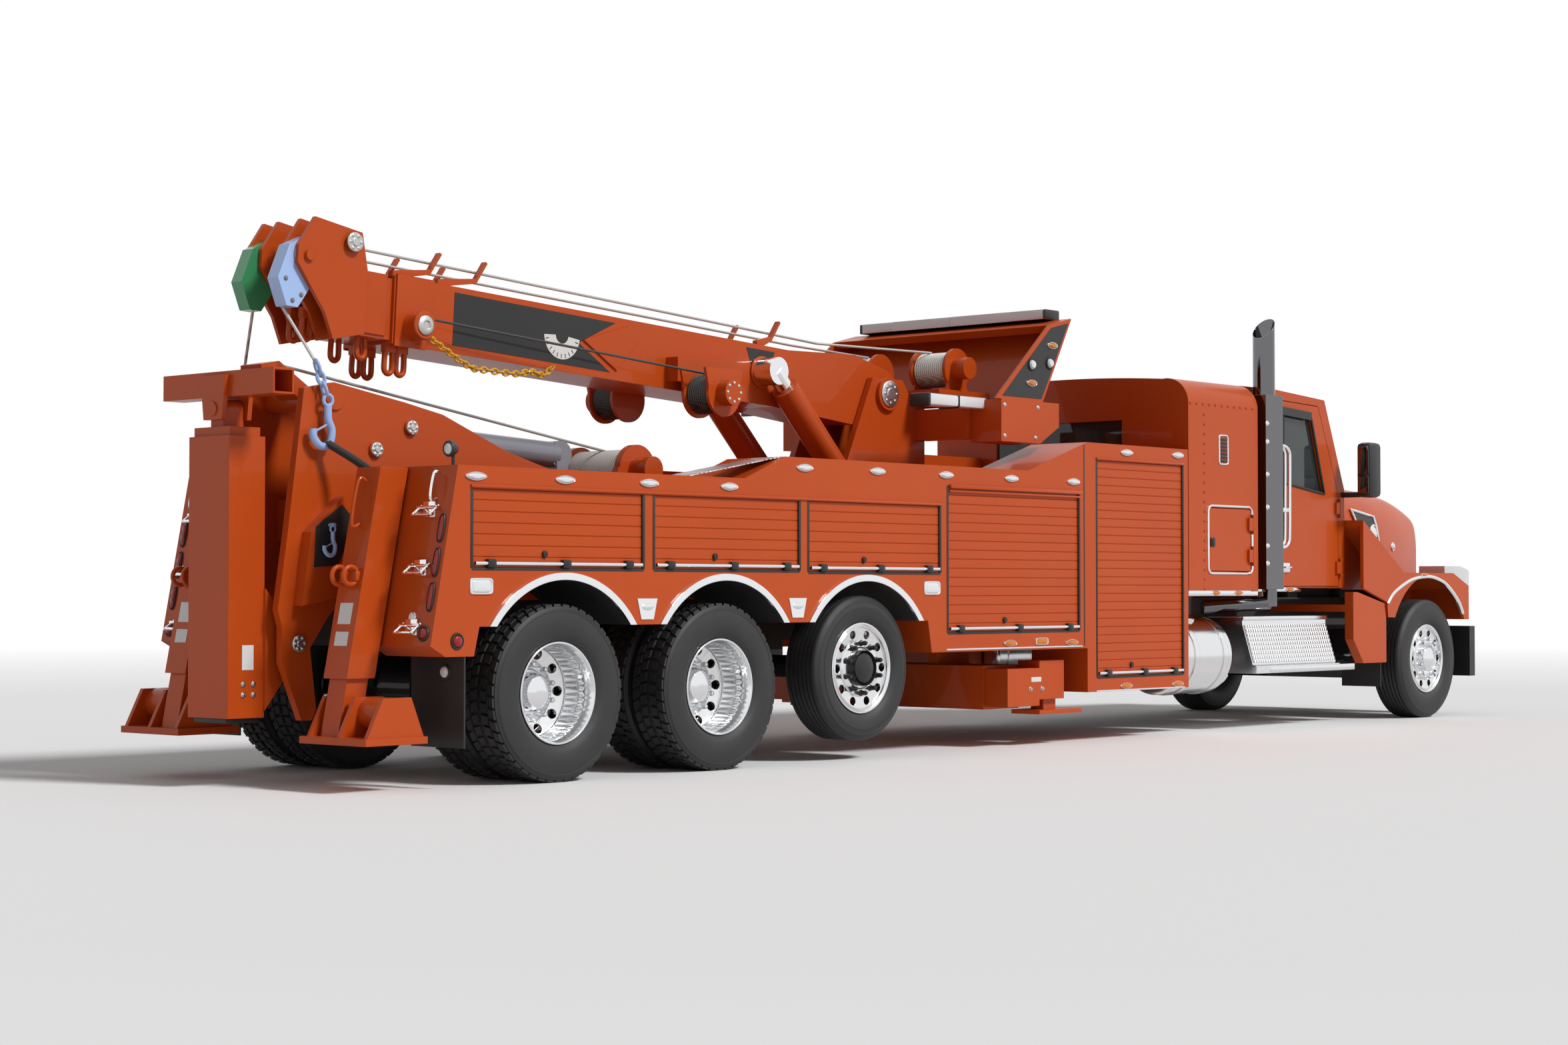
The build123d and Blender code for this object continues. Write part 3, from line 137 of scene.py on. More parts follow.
class Finish:
    """A material under construction: nodes come from node(), the shader's sockets from set()."""

    def __init__(self, name, **sockets):
        self.material = bpy.data.materials.new(name)
        self.material.use_nodes = True
        self.tree = self.material.node_tree
        self.shader = self.tree.nodes["Principled BSDF"]
        self.set(**sockets)

    def node(self, kind, settings=None, inputs=None, output=0):
        """One node of a type, with its settings set first, then its sockets' values or links."""
        made = self.tree.nodes.new("ShaderNode" + kind)
        for name, value in (settings or {}).items():
            if name == "stops":
                for stop, (place, colour) in zip(made.color_ramp.elements, value):
                    stop.position = place
                    stop.color = (*colour, 1)
            else:
                setattr(made, name, value)
        for name, value in (inputs or {}).items():
            self.feed(made.inputs[name], value)
        return Value(made.outputs[output])

    def feed(self, slot, value):
        """Links a socket or sets its value; a colour of three gets its alpha."""
        if isinstance(value, Value):
            self.tree.links.new(value.socket, slot)
        elif isinstance(value, (tuple, list)) and len(value) == 3 and slot.type == "RGBA":
            slot.default_value = (*value, 1)
        else:
            slot.default_value = value

    def set(self, **sockets):
        """Feeds the shader's sockets, named with _ for a space."""
        for name, value in sockets.items():
            self.feed(self.shader.inputs[name.replace("_", " ")], value)

    def place(self):
        """Where a point lies on its object."""
        return self.node("TexCoord", output="Object")

    def noise(self, scale, detail=3.0, rough=0.5):
        return self.node("TexNoise", inputs={
            "Vector": self.place(), "Scale": scale, "Detail": detail, "Roughness": rough})

    def mix(self, factor, first, second):
        """A blend of two colours; the Mix node keeps its colour sockets at 6 and 7, and its result at 2."""
        return self.node("Mix", {"data_type": "RGBA"}, {6: first, 7: second, 0: factor}, output=2)

    def bump(self, height, strength, distance):
        return self.node("Bump", inputs={"Height": height, "Strength": strength, "Distance": distance})


print("shader tools ready:", Value.__name__, "and", Finish.__name__)


# %% [markdown]
# ## Paint
# The truck wears one orange, sprayed over steel and aluminium and polished: a coloured base under a clear
# coat. Sprayed paint is never dead even, so a slow noise shifts its colour and a fine one gives the
# faint orange peel that breaks up reflections. Edges of sheet metal are rounded by a Bevel node, because
# a knife-sharp edge is the first thing that makes a render look like one.

# %% Painted finishes
EDGE_R = 0.005
CLOUD_SCALE, PEEL_SCALE, PEEL_DEPTH = 1.3, 260.0, 0.001


def painted(name, colour, shade, roughness=0.38, coat=1.0, edge=EDGE_R, peel=0.04):
    """Gloss paint between two near colours, with orange peel and softened edges."""
    finish = Finish(name, Roughness=roughness, Coat_Weight=coat, Coat_Roughness=0.04, Specular_IOR_Level=0.18)
    slow = finish.noise(CLOUD_SCALE, 4.0)
    finish.set(Base_Color=finish.mix(slow, colour, shade))
    fine = finish.noise(PEEL_SCALE, 2.0)
    rounded = finish.node("Bevel", {"samples": 4}, {"Radius": edge})
    bump = finish.bump(fine, peel, PEEL_DEPTH)
    finish.tree.links.new(rounded.socket, bump.socket.node.inputs["Normal"])
    finish.set(Normal=bump)
    return finish.material


ORANGE = painted("orange_paint", (0.52, 0.074, 0.008), (0.46, 0.062, 0.007), coat=0.16)
BLACK_PAINT = painted("black_paint", (0.012, 0.012, 0.013), (0.022, 0.021, 0.020), 0.45, 0.4)
GREY_PAINT = painted("grey_paint", (0.25, 0.26, 0.29), (0.20, 0.21, 0.24), 0.4, 0.6)
SKY_PAINT = painted("sky_paint", (0.36, 0.52, 0.86), (0.30, 0.46, 0.80), 0.4, 0.6)
GREEN_PAINT = painted("green_paint", (0.03, 0.26, 0.10), (0.02, 0.20, 0.07), 0.4, 0.6)
YELLOW_PAINT = painted("yellow_paint", (0.78, 0.42, 0.01), (0.68, 0.34, 0.01), 0.42, 0.6)
CAST_IRON = painted("cast_iron", (0.05, 0.05, 0.05), (0.09, 0.085, 0.08), 0.6, 0.0, 0.01, 0.3)
WHITE_PLATE = painted("white_plate", (0.75, 0.75, 0.73), (0.68, 0.68, 0.66), 0.5, 0.2)
print("painted finishes:", ORANGE.name, "and 7 more")


# %% [markdown]
# ## Metal
# Chrome is a mirror with a trace of haze. Polished aluminium is the same idea, warmer and softer, with
# fine turning marks. Both show the bright room around them, so they need nothing more than a roughness
# that is not quite even. The dark chrome of the stack and the mirror panes is bright chrome with a painted
# dark reflection in its colour, in place of the dark surroundings it would mirror.

# %% Metal finishes
def metal(name, colour, roughness, spread, grain=40.0, edge=EDGE_R):
    """Bare metal whose roughness wanders a little."""
    finish = Finish(name, Metallic=1.0, Base_Color=colour)
    finish.set(Roughness=roughness + finish.noise(grain, 5.0) * spread)
    finish.set(Normal=finish.node("Bevel", {"samples": 4}, {"Radius": edge}))
    return finish.material


CHROME = metal("chrome", (0.80, 0.81, 0.83), 0.03, 0.06)
ALUMINIUM = metal("aluminium", (0.78, 0.79, 0.80), 0.10, 0.12)
STEEL = metal("steel", (0.50, 0.50, 0.49), 0.22, 0.25, 90.0)
# Bright chrome with a painted dark reflection: its dark base colour stands in for dark surroundings it
# mirrors.
PAINTED_DARK_REFLECTION_CHROME = metal("smoked_chrome", (0.16, 0.16, 0.17), 0.03, 0.05)
print("metal finishes:", CHROME.name, ALUMINIUM.name, STEEL.name, PAINTED_DARK_REFLECTION_CHROME.name)


# %% [markdown]
# ## Tread plate and mesh
# Tread plate has raised bars in two directions, and a mesh has holes in rows. Both repeat evenly, so waves
# crossed with each other make them: as bump on the bright plate, and as a mix of two blacks on the mesh.

# %% Patterned finishes
def crossed(finish, scale):
    """Two waves at right angles, multiplied."""
    waves = []
    for direction in ("X", "Z"):
        waves.append(finish.node("TexWave", {"bands_direction": direction}, {
            "Vector": finish.place(), "Scale": scale}, output="Fac"))
    return waves[0] * waves[1]


tread = Finish("tread_plate", Metallic=1.0, Base_Color=(0.78, 0.79, 0.80))
bars = crossed(tread, 9.0)
tread.set(Roughness=0.30 - bars * 0.14, Normal=tread.bump(bars, 1.0, 0.006))
TREAD = tread.material

mesh = Finish("black_mesh", Roughness=0.5)
holes = crossed(mesh, 26.0)
mesh.set(Base_Color=mesh.mix(holes, (0.004, 0.004, 0.004), (0.06, 0.06, 0.06)))
mesh.set(Normal=mesh.bump(holes, 0.8, 0.004))
MESH = mesh.material
print("patterned finishes:", TREAD.name, MESH.name)


# %% [markdown]
# ## Rubber and plastic
# Tyres and mud flaps are dark grey, not black, with patches of dust laid by a noise. Moulded plastic has a
# grain that a fine noise in the bump gives.

# %% Rubber and plastic finishes
def moulded(name, colour, dust, roughness, grain, strength):
    """Rubber or plastic with a grained skin and a little dust."""
    finish = Finish(name)
    cloud = finish.noise(6.0, 6.0, 0.6)
    finish.set(Base_Color=finish.mix(cloud ** 2.0, colour, dust))
    finish.set(Roughness=roughness + cloud * 0.2)
    finish.set(Normal=finish.bump(finish.noise(grain, 3.0), strength, 0.001))
    return finish.material


TYRE = moulded("tyre_rubber", (0.012, 0.012, 0.013), (0.030, 0.029, 0.028), 0.50, 300.0, 0.2)
RUBBER = moulded("black_rubber", (0.010, 0.010, 0.010), (0.024, 0.023, 0.022), 0.45, 200.0, 0.15)
PLASTIC = moulded("black_plastic", (0.008, 0.008, 0.009), (0.016, 0.016, 0.016), 0.35, 400.0, 0.1)
CABIN = moulded("cabin_trim", (0.05, 0.048, 0.046), (0.09, 0.085, 0.08), 0.55, 250.0, 0.2)
print("rubber and plastic:", TYRE.name, RUBBER.name, PLASTIC.name, CABIN.name)


# %% [markdown]
# ## Wire rope
# Wire rope is a bundle of strands laid in a twist, so it reads as fine slanted bands of light and dark. A
# wave texture in the bump gives them without modelling a single wire, and the same wave paints them into the
# colour: a painted highlight on each strand and painted shade in the grooves between them.

# %% Rope finishes
def laid(name, bright, groove_shade):
    """Twisted steel wire between a painted highlight grey on the strands and a painted shade grey in the
    grooves.
    """
    finish = Finish(name, Roughness=0.45, Metallic=0.6)
    bands = finish.node("TexWave", {"bands_direction": "DIAGONAL"}, {
        "Vector": finish.place(), "Scale": 60.0, "Distortion": 0.6}, output="Fac")
    # The colour runs from painted shade in the grooves to a painted highlight on the strands.
    finish.set(Base_Color=finish.mix(bands, groove_shade, bright), Normal=finish.bump(bands, 0.5, 0.002))
    return finish.material


# Each rope's first grey is the painted highlight on its strands, the second the painted shade in its grooves.
ROPE = laid("pale_rope", (0.62, 0.61, 0.58), (0.30, 0.29, 0.28))
DARK_ROPE = laid("dark_rope", (0.10, 0.10, 0.10), (0.03, 0.03, 0.03))
print("rope finishes:", ROPE.name, DARK_ROPE.name)


# %% [markdown]
# ## Glass and lamps
# Window glass is tinted, so it stays simple: a smooth dark transmission. Lamp lenses are coloured plastic
# over a bright reflector, which is nearer to a glossy, slightly see-through colour than to clear glass.

# %% Glass and lamp finishes
def clear(name, colour, transmission, roughness=0.02):
    """A smooth see-through finish; a faint haze keeps it from looking like a hole."""
    finish = Finish(name, Transmission_Weight=transmission, IOR=1.45, Base_Color=colour)
    finish.set(Roughness=roughness + finish.noise(3.0) * 0.02)
    return finish.material


GLASS = clear("tinted_glass", (0.10, 0.12, 0.12), 0.75)
LENS_CLEAR = clear("clear_lens", (0.84, 0.86, 0.88), 0.12, 0.05)
LENS_RED = clear("red_lens", (0.35, 0.012, 0.010), 0.15, 0.08)
LENS_AMBER = clear("amber_lens", (0.75, 0.22, 0.01), 0.15, 0.08)
print("glass and lenses:", GLASS.name, LENS_CLEAR.name, LENS_RED.name, LENS_AMBER.name)


# %% [markdown]
# ## Finishes in two tones
# Two solids are painted in two colours. The sheave blocks hang one on each side, one light blue and one
# green. The nose carries clear lamps at its ends and a bright grille between them. Both are told apart by
# where a point lies across the truck, which a comparison of its y gives.

# %% Two-tone finishes
LAMP_INNER_Y = 0.78
BLUE, GREEN = (0.36, 0.52, 0.86), (0.03, 0.26, 0.10)


def across(finish):
    """A point's distance to the left of the middle."""
    return finish.node("SeparateXYZ", inputs={0: finish.place()}, output="Y")


blocks = Finish("block_paint", Roughness=0.4, Coat_Weight=0.5, Coat_Roughness=0.05)
left = across(blocks)
blocks.set(Base_Color=blocks.mix(left.math("GREATER_THAN", left, 0.0), BLUE, GREEN))
BLOCK_PAINT = blocks.material

face = Finish("face_trim", Coat_Weight=0.5, Coat_Roughness=0.02)
off = across(face)
off = off.math("ABSOLUTE", off)
inner = off.math("LESS_THAN", off, LAMP_INNER_Y)
face.set(Metallic=inner, Roughness=0.12 - inner * 0.06)
face.set(Base_Color=face.mix(inner, (0.62, 0.64, 0.66), (0.80, 0.81, 0.83)))
FACE_TRIM = face.material
print("two-tone finishes:", BLOCK_PAINT.name, FACE_TRIM.name)


# %% [markdown]
# ## Finish of the solids
# Each solid that is shown as it stands gets one of these finishes. The table names the few that are not
# orange.

# %% Dress the solids
NODE_FINISH = {
    "frame": BLACK_PAINT, "engine": CAST_IRON, "axles": BLACK_PAINT, "mud_guards": RUBBER,
    "arch_trims": CHROME, "underlift_cylinder": GREY_PAINT, "fuel_tanks": ALUMINIUM,
    # The stack wears chrome with a painted dark reflection in its colour.
    "cab_steps": ALUMINIUM, "exhaust_stack": PAINTED_DARK_REFLECTION_CHROME, "cab_glass": GLASS, "door_glass_left": GLASS,
    "door_glass_right": GLASS, "cab_interior": CABIN, "mirrors": PLASTIC, "bumper": PLASTIC,
    "head_lamps": FACE_TRIM, "sheave_blocks": BLOCK_PAINT, "lift_rods": CHROME,
    "knuckle_left": BLACK_PAINT, "knuckle_right": BLACK_PAINT,
}


def wear(obj, material):
    """Gives an object one material."""
    obj.data.materials.clear()
    obj.data.materials.append(material)


for name, obj in nodes.items():
    wear(obj, TYRE if name.startswith("wheel_") else NODE_FINISH.get(name, ORANGE))
print("solids dressed:", len(nodes))


# %% [markdown]
# ## A mesh under construction
# Most of what follows is small hardware: lamps, bars, hooks, bolts. Blender's primitives would each need
# an operator call and a join, so one class gathers them in a single mesh instead. Its makers cover what a
# workshop has: a rounded block, a turned or oval form, a bent bar, a flat plate and a curved sheet.

# %% Shapes
SHARP = math.radians(38)


class Shape:
    """A mesh that grows piece by piece in the shared frame, then rides on a body."""

    def __init__(self):
        self.mesh = bmesh.new()

    def block(self, low, high, bevel):
        """A box between two corners given as (station, y, z), its edges rounded."""
        first, last = at(*low), at(*high)
        size = [abs(b - a) for a, b in zip(first, last)]
        place = Matrix.Translation((first + last) / 2)
        made = bmesh.ops.create_cube(self.mesh, size=1, matrix=place @ Matrix.Diagonal((*size, 1)))
        edges = list(dict.fromkeys(edge for vert in made["verts"] for edge in vert.link_edges))
        bmesh.ops.bevel(self.mesh, geom=edges, offset=min(bevel, min(size) * 0.4), segments=2,
                        affect="EDGES", profile=0.5)

    def slab(self, side, stations, reach, heights, bevel):
        """A block on one side of the truck, by its spans of station, distance from the middle and height."""
        first, last = zip(stations, [side * y for y in reach], heights)
        self.block(first, last, bevel)

    def skin(self, rings):
        """Faces between rings of points; a ring of one point closes to a tip."""
        for first, second in zip(rings, rings[1:]):
            for k in range(max(len(first), len(second))):
                corners = [first[k % len(first)], first[(k + 1) % len(first)],
                           second[(k + 1) % len(second)], second[k % len(second)]]
                self.mesh.faces.new(list(dict.fromkeys(corners)))

    def oval(self, centre, facing, half, profile, up=(0, 0, 1), power=2.0, sides=32):
        """Rings of (share of the half sizes, added size, rise) round a centre; power squares them off."""
        out = Vector(facing).normalized()
        wide = Vector(up).cross(out).normalized()
        tall = out.cross(wide)
        rings = []
        for share, added, rise in profile:
            if share == 0 and added == 0:
                rings.append([self.mesh.verts.new(centre + out * rise)])
                continue
            ring = []
            for k in range(sides):
                turn = math.tau * k / sides
                x = math.copysign(abs(math.cos(turn)) ** (2 / power), math.cos(turn))
                y = math.copysign(abs(math.sin(turn)) ** (2 / power), math.sin(turn))
                point = wide * x * (half[0] * share + added) + tall * y * (half[1] * share + added)
                ring.append(self.mesh.verts.new(centre + point + out * rise))
            rings.append(ring)
        self.skin(rings)

    def turned(self, centre, axis, profile, up=(0, 0, 1), sides=48):
        """A round form of (radius, along) points about an axis."""
        self.oval(centre, axis, (0, 0), [(0, radius, along) for radius, along in profile], up, 2.0, sides)

    def tube(self, points, radius, sides=10, loop=False):
        """A round bar through points."""
        rings, normal = [], None
        count = len(points)
        for k, point in enumerate(points):
            before = points[k - 1] if k or loop else point
            after = points[(k + 1) % count] if k < count - 1 or loop else point
            way = (after - before).normalized()
            normal = way.orthogonal() if normal is None else normal - way * normal.dot(way)
            normal.normalize()
            other = way.cross(normal)
            turns = [math.tau * j / sides for j in range(sides)]
            rings.append([self.mesh.verts.new(point + (normal * math.cos(t) + other * math.sin(t)) * radius)
                          for t in turns])
        self.skin(rings + rings[:1] if loop else rings)
        if not loop:
            self.mesh.faces.new(rings[0])
            self.mesh.faces.new(rings[-1])

    def plate(self, points, push):
        """A flat outline of points, pushed to a thickness."""
        front = [self.mesh.verts.new(point) for point in points]
        back = [self.mesh.verts.new(point + push) for point in points]
        self.skin([front, back])
        self.mesh.faces.new(front)
        self.mesh.faces.new(back)

    def sheet(self, side, y, outline, thick, place=at):
        """A plate on one side, from an outline of (station, height) or of another place's two directions."""
        self.plate([place(u, side * y, v) for u, v in outline], Vector((0, side * thick, 0)))

    def net(self, rows):
        """A curved sheet through rows of points."""
        made = [[self.mesh.verts.new(point) for point in row] for row in rows]
        for above, below in zip(made, made[1:]):
            for k in range(len(above) - 1):
                self.mesh.faces.new((above[k], above[k + 1], below[k + 1], below[k]))

    def bolts(self, centres, facing, radius=0.012, rise=0.010):
        """Domed bolt heads."""
        for centre in centres:
            self.oval(centre, facing, (radius, radius),
                      [(1, 0.003, 0), (1, 0.003, 0.003), (0.9, 0, 0.003), (0.7, 0, rise), (0, 0, rise * 1.2)],
                      sides=12, up=(0.1, 0.2, 1))

    def done(self, name, material, body, *hidden):
        """Makes the object, softens its shading, and seats it on a body, if one is given."""
        bmesh.ops.recalc_face_normals(self.mesh, faces=self.mesh.faces)
        for face in self.mesh.faces:
            face.smooth = True
        for edge in self.mesh.edges:
            edge.smooth = len(edge.link_faces) == 2 and edge.calc_face_angle(0) < SHARP
        data = bpy.data.meshes.new(name)
        self.mesh.to_mesh(data)
        self.mesh.free()
        obj = bpy.data.objects.new(name, data)
        bpy.context.collection.objects.link(obj)
        wear(obj, material)
        if body:
            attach(obj, body)
        if hidden:
            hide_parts(*hidden)
        return obj


print("a shape's makers: block, slab, skin, oval, turned, tube, plate, sheet, net, bolts")

# %% [markdown]
# ## Lines and places
# Three helpers are used all over: points on an arc, points on a soft line through a few chosen ones, and the
# point where a solid's side lies. The last one asks the solid itself with a ray, so a fitting sits on the
# surface even where a wall leans.

# %% Lines and places
BESIDE_ALL = 3.0
SIDES = ((1, "left"), (-1, "right"))
ALONG, UP = Vector((1, 0, 0)), Vector((0, 0, 1))


def arc(centre, first, second, radius, start, stop, steps):
    """Points on a circle spanned by two directions, between two angles in degrees."""
    turns = [math.radians(start + (stop - start) * k / steps) for k in range(steps + 1)]
    return [centre + (Vector(first) * math.cos(t) + Vector(second) * math.sin(t)) * radius for t in turns]


def smooth(points, steps=6):
    """Points on a soft line through the given ones."""
    ends = [points[0]] + list(points) + [points[-1]]
    line = []
    for a, b, c, d in zip(ends, ends[1:], ends[2:], ends[3:]):
        for k in range(steps):
            t = k / steps
            line.append(0.5 * (2 * b + (c - a) * t + (2 * a - 5 * b + 4 * c - d) * t ** 2
                               + (3 * b - a - 3 * c + d) * t ** 3))
    return line + [points[-1]]


def skin_at(node, station, z, side):
    """The outermost point of a solid's side at a station and height, and the way it faces."""
    hit, point, normal, _ = nodes[node].ray_cast(at(station, side * BESIDE_ALL, z), Vector((0, -side, 0)))
    assert hit, (node, station, z)
    return point, normal


print("lines and places ready for the sides:", SIDES[0][1], SIDES[1][1])

# %% [markdown]
# ## Tyres
# A tyre is a turned form: beads, bulging walls, round shoulders and a tread. Steered and lifted wheels
# carry ribs, which are grooves in the turned profile. Drive tyres need lugs that bite, so rows of slanted
# blocks are set on a slightly smaller tread. Modelling the lugs, rather than bumping them, keeps the
# tyre's outline broken where it meets the floor.

# %% Tyres
TYRE_WALL = ((0.287, 0.116), (0.303, 0.120), (0.316, 0.134), (0.350, 0.147), (0.400, 0.150))
RIB_GROOVES = (0.086, 0.052, 0.018)
GROOVE_HALF, GROOVE_DEEP = 0.005, 0.013
LUG_ROWS = ((0.100, 0.026, 10), (0.040, 0.027, 6), (-0.040, 0.027, -6), (-0.100, 0.026, -10))
LUGS = 46
LUG_RISE, LUG_SINK, LUG_TAPER = 0.014, 0.016, 0.88
FULL_R, LIFT_R = 0.515, 0.475


def tyre_profile(radius, ribbed):
    """Half of a tyre's section as (radius, offset), from the bead to the middle of the tread."""
    lean = radius - FULL_R
    wall = list(TYRE_WALL) + [(0.440 + lean, 0.148), (0.470 + lean, 0.142), (0.472 + lean, 0.144),
                              (0.478 + lean, 0.143), (0.480 + lean, 0.140), (radius - LUG_RISE, 0.130)]
    tread = radius if ribbed else radius - LUG_RISE
    wall += [(tread - 0.006, 0.122), (tread, 0.112)]
    if ribbed:
        for middle in RIB_GROOVES:
            wall += [(tread, middle + GROOVE_HALF), (tread - GROOVE_DEEP, middle + GROOVE_HALF * 0.6)]
            wall += [(tread - GROOVE_DEEP, middle - GROOVE_HALF * 0.6), (tread, middle - GROOVE_HALF)]
    return wall


def tread_lugs(shape, centre, radius):
    """Rows of slanted blocks round a drive tyre."""
    pitch = math.tau / LUGS
    for y, half, slant in LUG_ROWS:
        for k in range(LUGS):
            middle = pitch * (k + (0.5 if abs(y) > 0.08 else 0.0))
            corners = []
            for rise, shrink in ((-LUG_SINK, 1.0), (0.0, LUG_TAPER)):
                ring = []
                for ahead_by, out_by in ((-1, -1), (1, -1), (1, 1), (-1, 1)):
                    turn = middle + ahead_by * pitch * 0.40 * shrink + out_by * math.radians(slant) * 0.1
                    reach = radius + rise
                    ring.append(shape.mesh.verts.new(centre + Vector((
                        math.cos(turn) * reach, y + out_by * half * shrink, math.sin(turn) * reach))))
                corners.append(ring)
            shape.skin(corners)
            shape.mesh.faces.new(corners[1])


def make_tyre(shape, centre, radius, ribbed):
    """A whole tyre about its axle: the half section and its mirror image, turned."""
    half = tyre_profile(radius, ribbed)
    whole = half + [(r, -y) for r, y in reversed(half)]
    shape.turned(centre, (0, 1, 0), whole, sides=96)
    if not ribbed:
        tread_lugs(shape, centre, radius)


print("tyre makers ready:", len(LUG_ROWS) * LUGS, "lugs on a drive tyre")

# %% [markdown]
# ## Rims
# Polished forged rims: a rolled lip, a deep barrel and a disc with ten round hand holes. A hole in a turned
# disc is awkward to cut, so the ring that holds the holes is laid out as ten patches, each running from a
# sector's edge to a circle. Nuts under long covers and a domed hub finish the middle. Twin wheels are
# dished inward and single ones outward.

# %% Rims
HOLES, HOLE_R, HOLE_PITCH, HOLE_DEEP = 10, 0.029, 0.226, 0.022
BAND_IN, BAND_OUT = 0.188, 0.264
NUTS, NUT_PITCH = 10, 0.163
NUT_COVER = [(0.021, 0), (0.021, 0.006), (0.016, 0.010), (0.0155, 0.044), (0.011, 0.052), (0, 0.054)]
RIM_LIP = [(0.285, 0.112), (0.297, 0.119), (0.299, 0.125), (0.296, 0.129), (0.288, 0.129), (0.282, 0.122)]
RIM_WELL = [(0.284, 0.120), (0.268, 0.05), (0.266, -0.128), (0.285, -0.128)]


def holed_band(shape, centre, side, dish):
    """The ring of hand holes; dish gives the offset at a radius."""
    half_turn = math.pi / HOLES

    def spot(radius, turn, depth=0.0):
        return shape.mesh.verts.new(centre + Vector((
            radius * math.cos(turn), side * (dish(radius) - depth), radius * math.sin(turn))))

    wide = BAND_OUT - BAND_IN
    edge = [(BAND_IN, -1 + j / 3) for j in range(6)] + [(BAND_IN + wide * j / 6, 1) for j in range(6)]
    edge += [(BAND_OUT, 1 - j / 3) for j in range(6)] + [(BAND_OUT - wide * j / 6, -1) for j in range(6)]
    for k in range(HOLES):
        middle = math.tau * k / HOLES
        outer, inner, deep = [], [], []
        for radius, share in edge:
            away = math.atan2(share * half_turn * HOLE_PITCH, radius - HOLE_PITCH)
            hole_r = HOLE_PITCH + HOLE_R * math.cos(away)
            hole_turn = middle + HOLE_R * math.sin(away) / HOLE_PITCH
            outer.append(spot(radius, middle + share * half_turn))
            inner.append(spot(hole_r, hole_turn))
            deep.append(spot(hole_r, hole_turn, HOLE_DEEP))
        shape.skin([outer, inner, deep])


def make_rim(shape, hub, centre, side, twin):
    """A rim with its nuts goes to shape, the hub's cover to hub."""
    out = Vector((0, side, 0))
    face = -0.138 if twin else 0.108
    rise = 0.030 if twin else 0.004

    def dish(radius):
        return face + rise * (radius - BAND_IN) / (BAND_OUT - BAND_IN)

    barrel = [(0.276, 0.090), (0.268, 0.050)] if twin else [(0.274, 0.116)]
    barrel += [(BAND_OUT + 0.002, dish(BAND_OUT) + 0.016), (BAND_OUT, dish(BAND_OUT))]
    shape.turned(centre, out, RIM_LIP + barrel, sides=72)
    holed_band(shape, centre, side, dish)
    shape.turned(centre, out, [(BAND_IN, dish(BAND_IN)), (0.182, face + 0.010), (0.140, face + 0.012),
                               (0.130, face + 0.004), (0.112, face + 0.004)], sides=72)
    for k in range(NUTS):
        turn = math.tau * (k + 0.5) / NUTS
        x, z = NUT_PITCH * math.cos(turn), NUT_PITCH * math.sin(turn)
        foot = centre + Vector((x, side * (face + 0.010), z))
        hub.turned(foot, out, NUT_COVER, sides=14)
    reach = -0.020 if twin else 0.165
    dome = [(0.118, face), (0.116, face + 0.05), (0.108, reach - 0.035), (0.095, reach - 0.014),
            (0.060, reach - 0.002), (0.030, reach), (0, reach)]
    hub.turned(centre, out, dome, sides=48)
    shape.turned(centre, out, RIM_WELL, sides=48)


print("rim makers ready:", HOLES, "hand holes and", NUTS, "nuts a rim")

# %% [markdown]
# ## Wheels on their axles
# Eight wheels turn: two steered, two on the raised lift axle and four pairs on the drive axles, where a
# second tyre stands inside the first. Each one's middle is its own spin joint, so the tyre runs true when it
# turns. The made tyre takes the place of the plain solid.

# %% Fit the wheels
TWIN_STEP = 0.343
INNER_RIM = [(0.288, 0.128), (0.268, 0.12), (0.268, -0.12), (0.288, -0.128)]
WHEELS = (
    # name, twin, tyre radius
    ("steer", False, FULL_R), ("lift", False, LIFT_R),
    ("drive_front", True, FULL_R), ("drive_rear", True, FULL_R),
)

for name, twin, radius in WHEELS:
    for side, hand in SIDES:
        body = f"wheel_{name}_{hand}"
        centre = Vector(JOINTS[f"spin_{name}_{hand}"]["pos_m"])
        rubber, rim, hub = Shape(), Shape(), Shape()
        make_tyre(rubber, centre, radius, not twin)
        make_rim(rim, hub, centre, side, twin)
        if twin:
            inner = centre - Vector((0, side * TWIN_STEP, 0))
            make_tyre(rubber, inner, radius, False)
            rim.turned(inner, (0, 1, 0), INNER_RIM, sides=48)
        rubber.done(f"tyre_{name}_{hand}", TYRE, body, body)
        rim.done(f"rim_{name}_{hand}", ALUMINIUM, body)
        hub.done(f"hub_{name}_{hand}", BLACK_PAINT if name == "lift" else CHROME, body)
print("wheels fitted:", 2 * len(WHEELS))

# %% [markdown]
# ## Lamp maker
# Every lamp is a pressed bright bezel, or a rubber grommet, with a lens bulging out of it. Both are the same
# oval form with other half sizes, so one maker serves the eye-shaped markers, the rectangles and the round
# tail lamps. Lenses of one colour share a mesh, since they are fitted in one go.

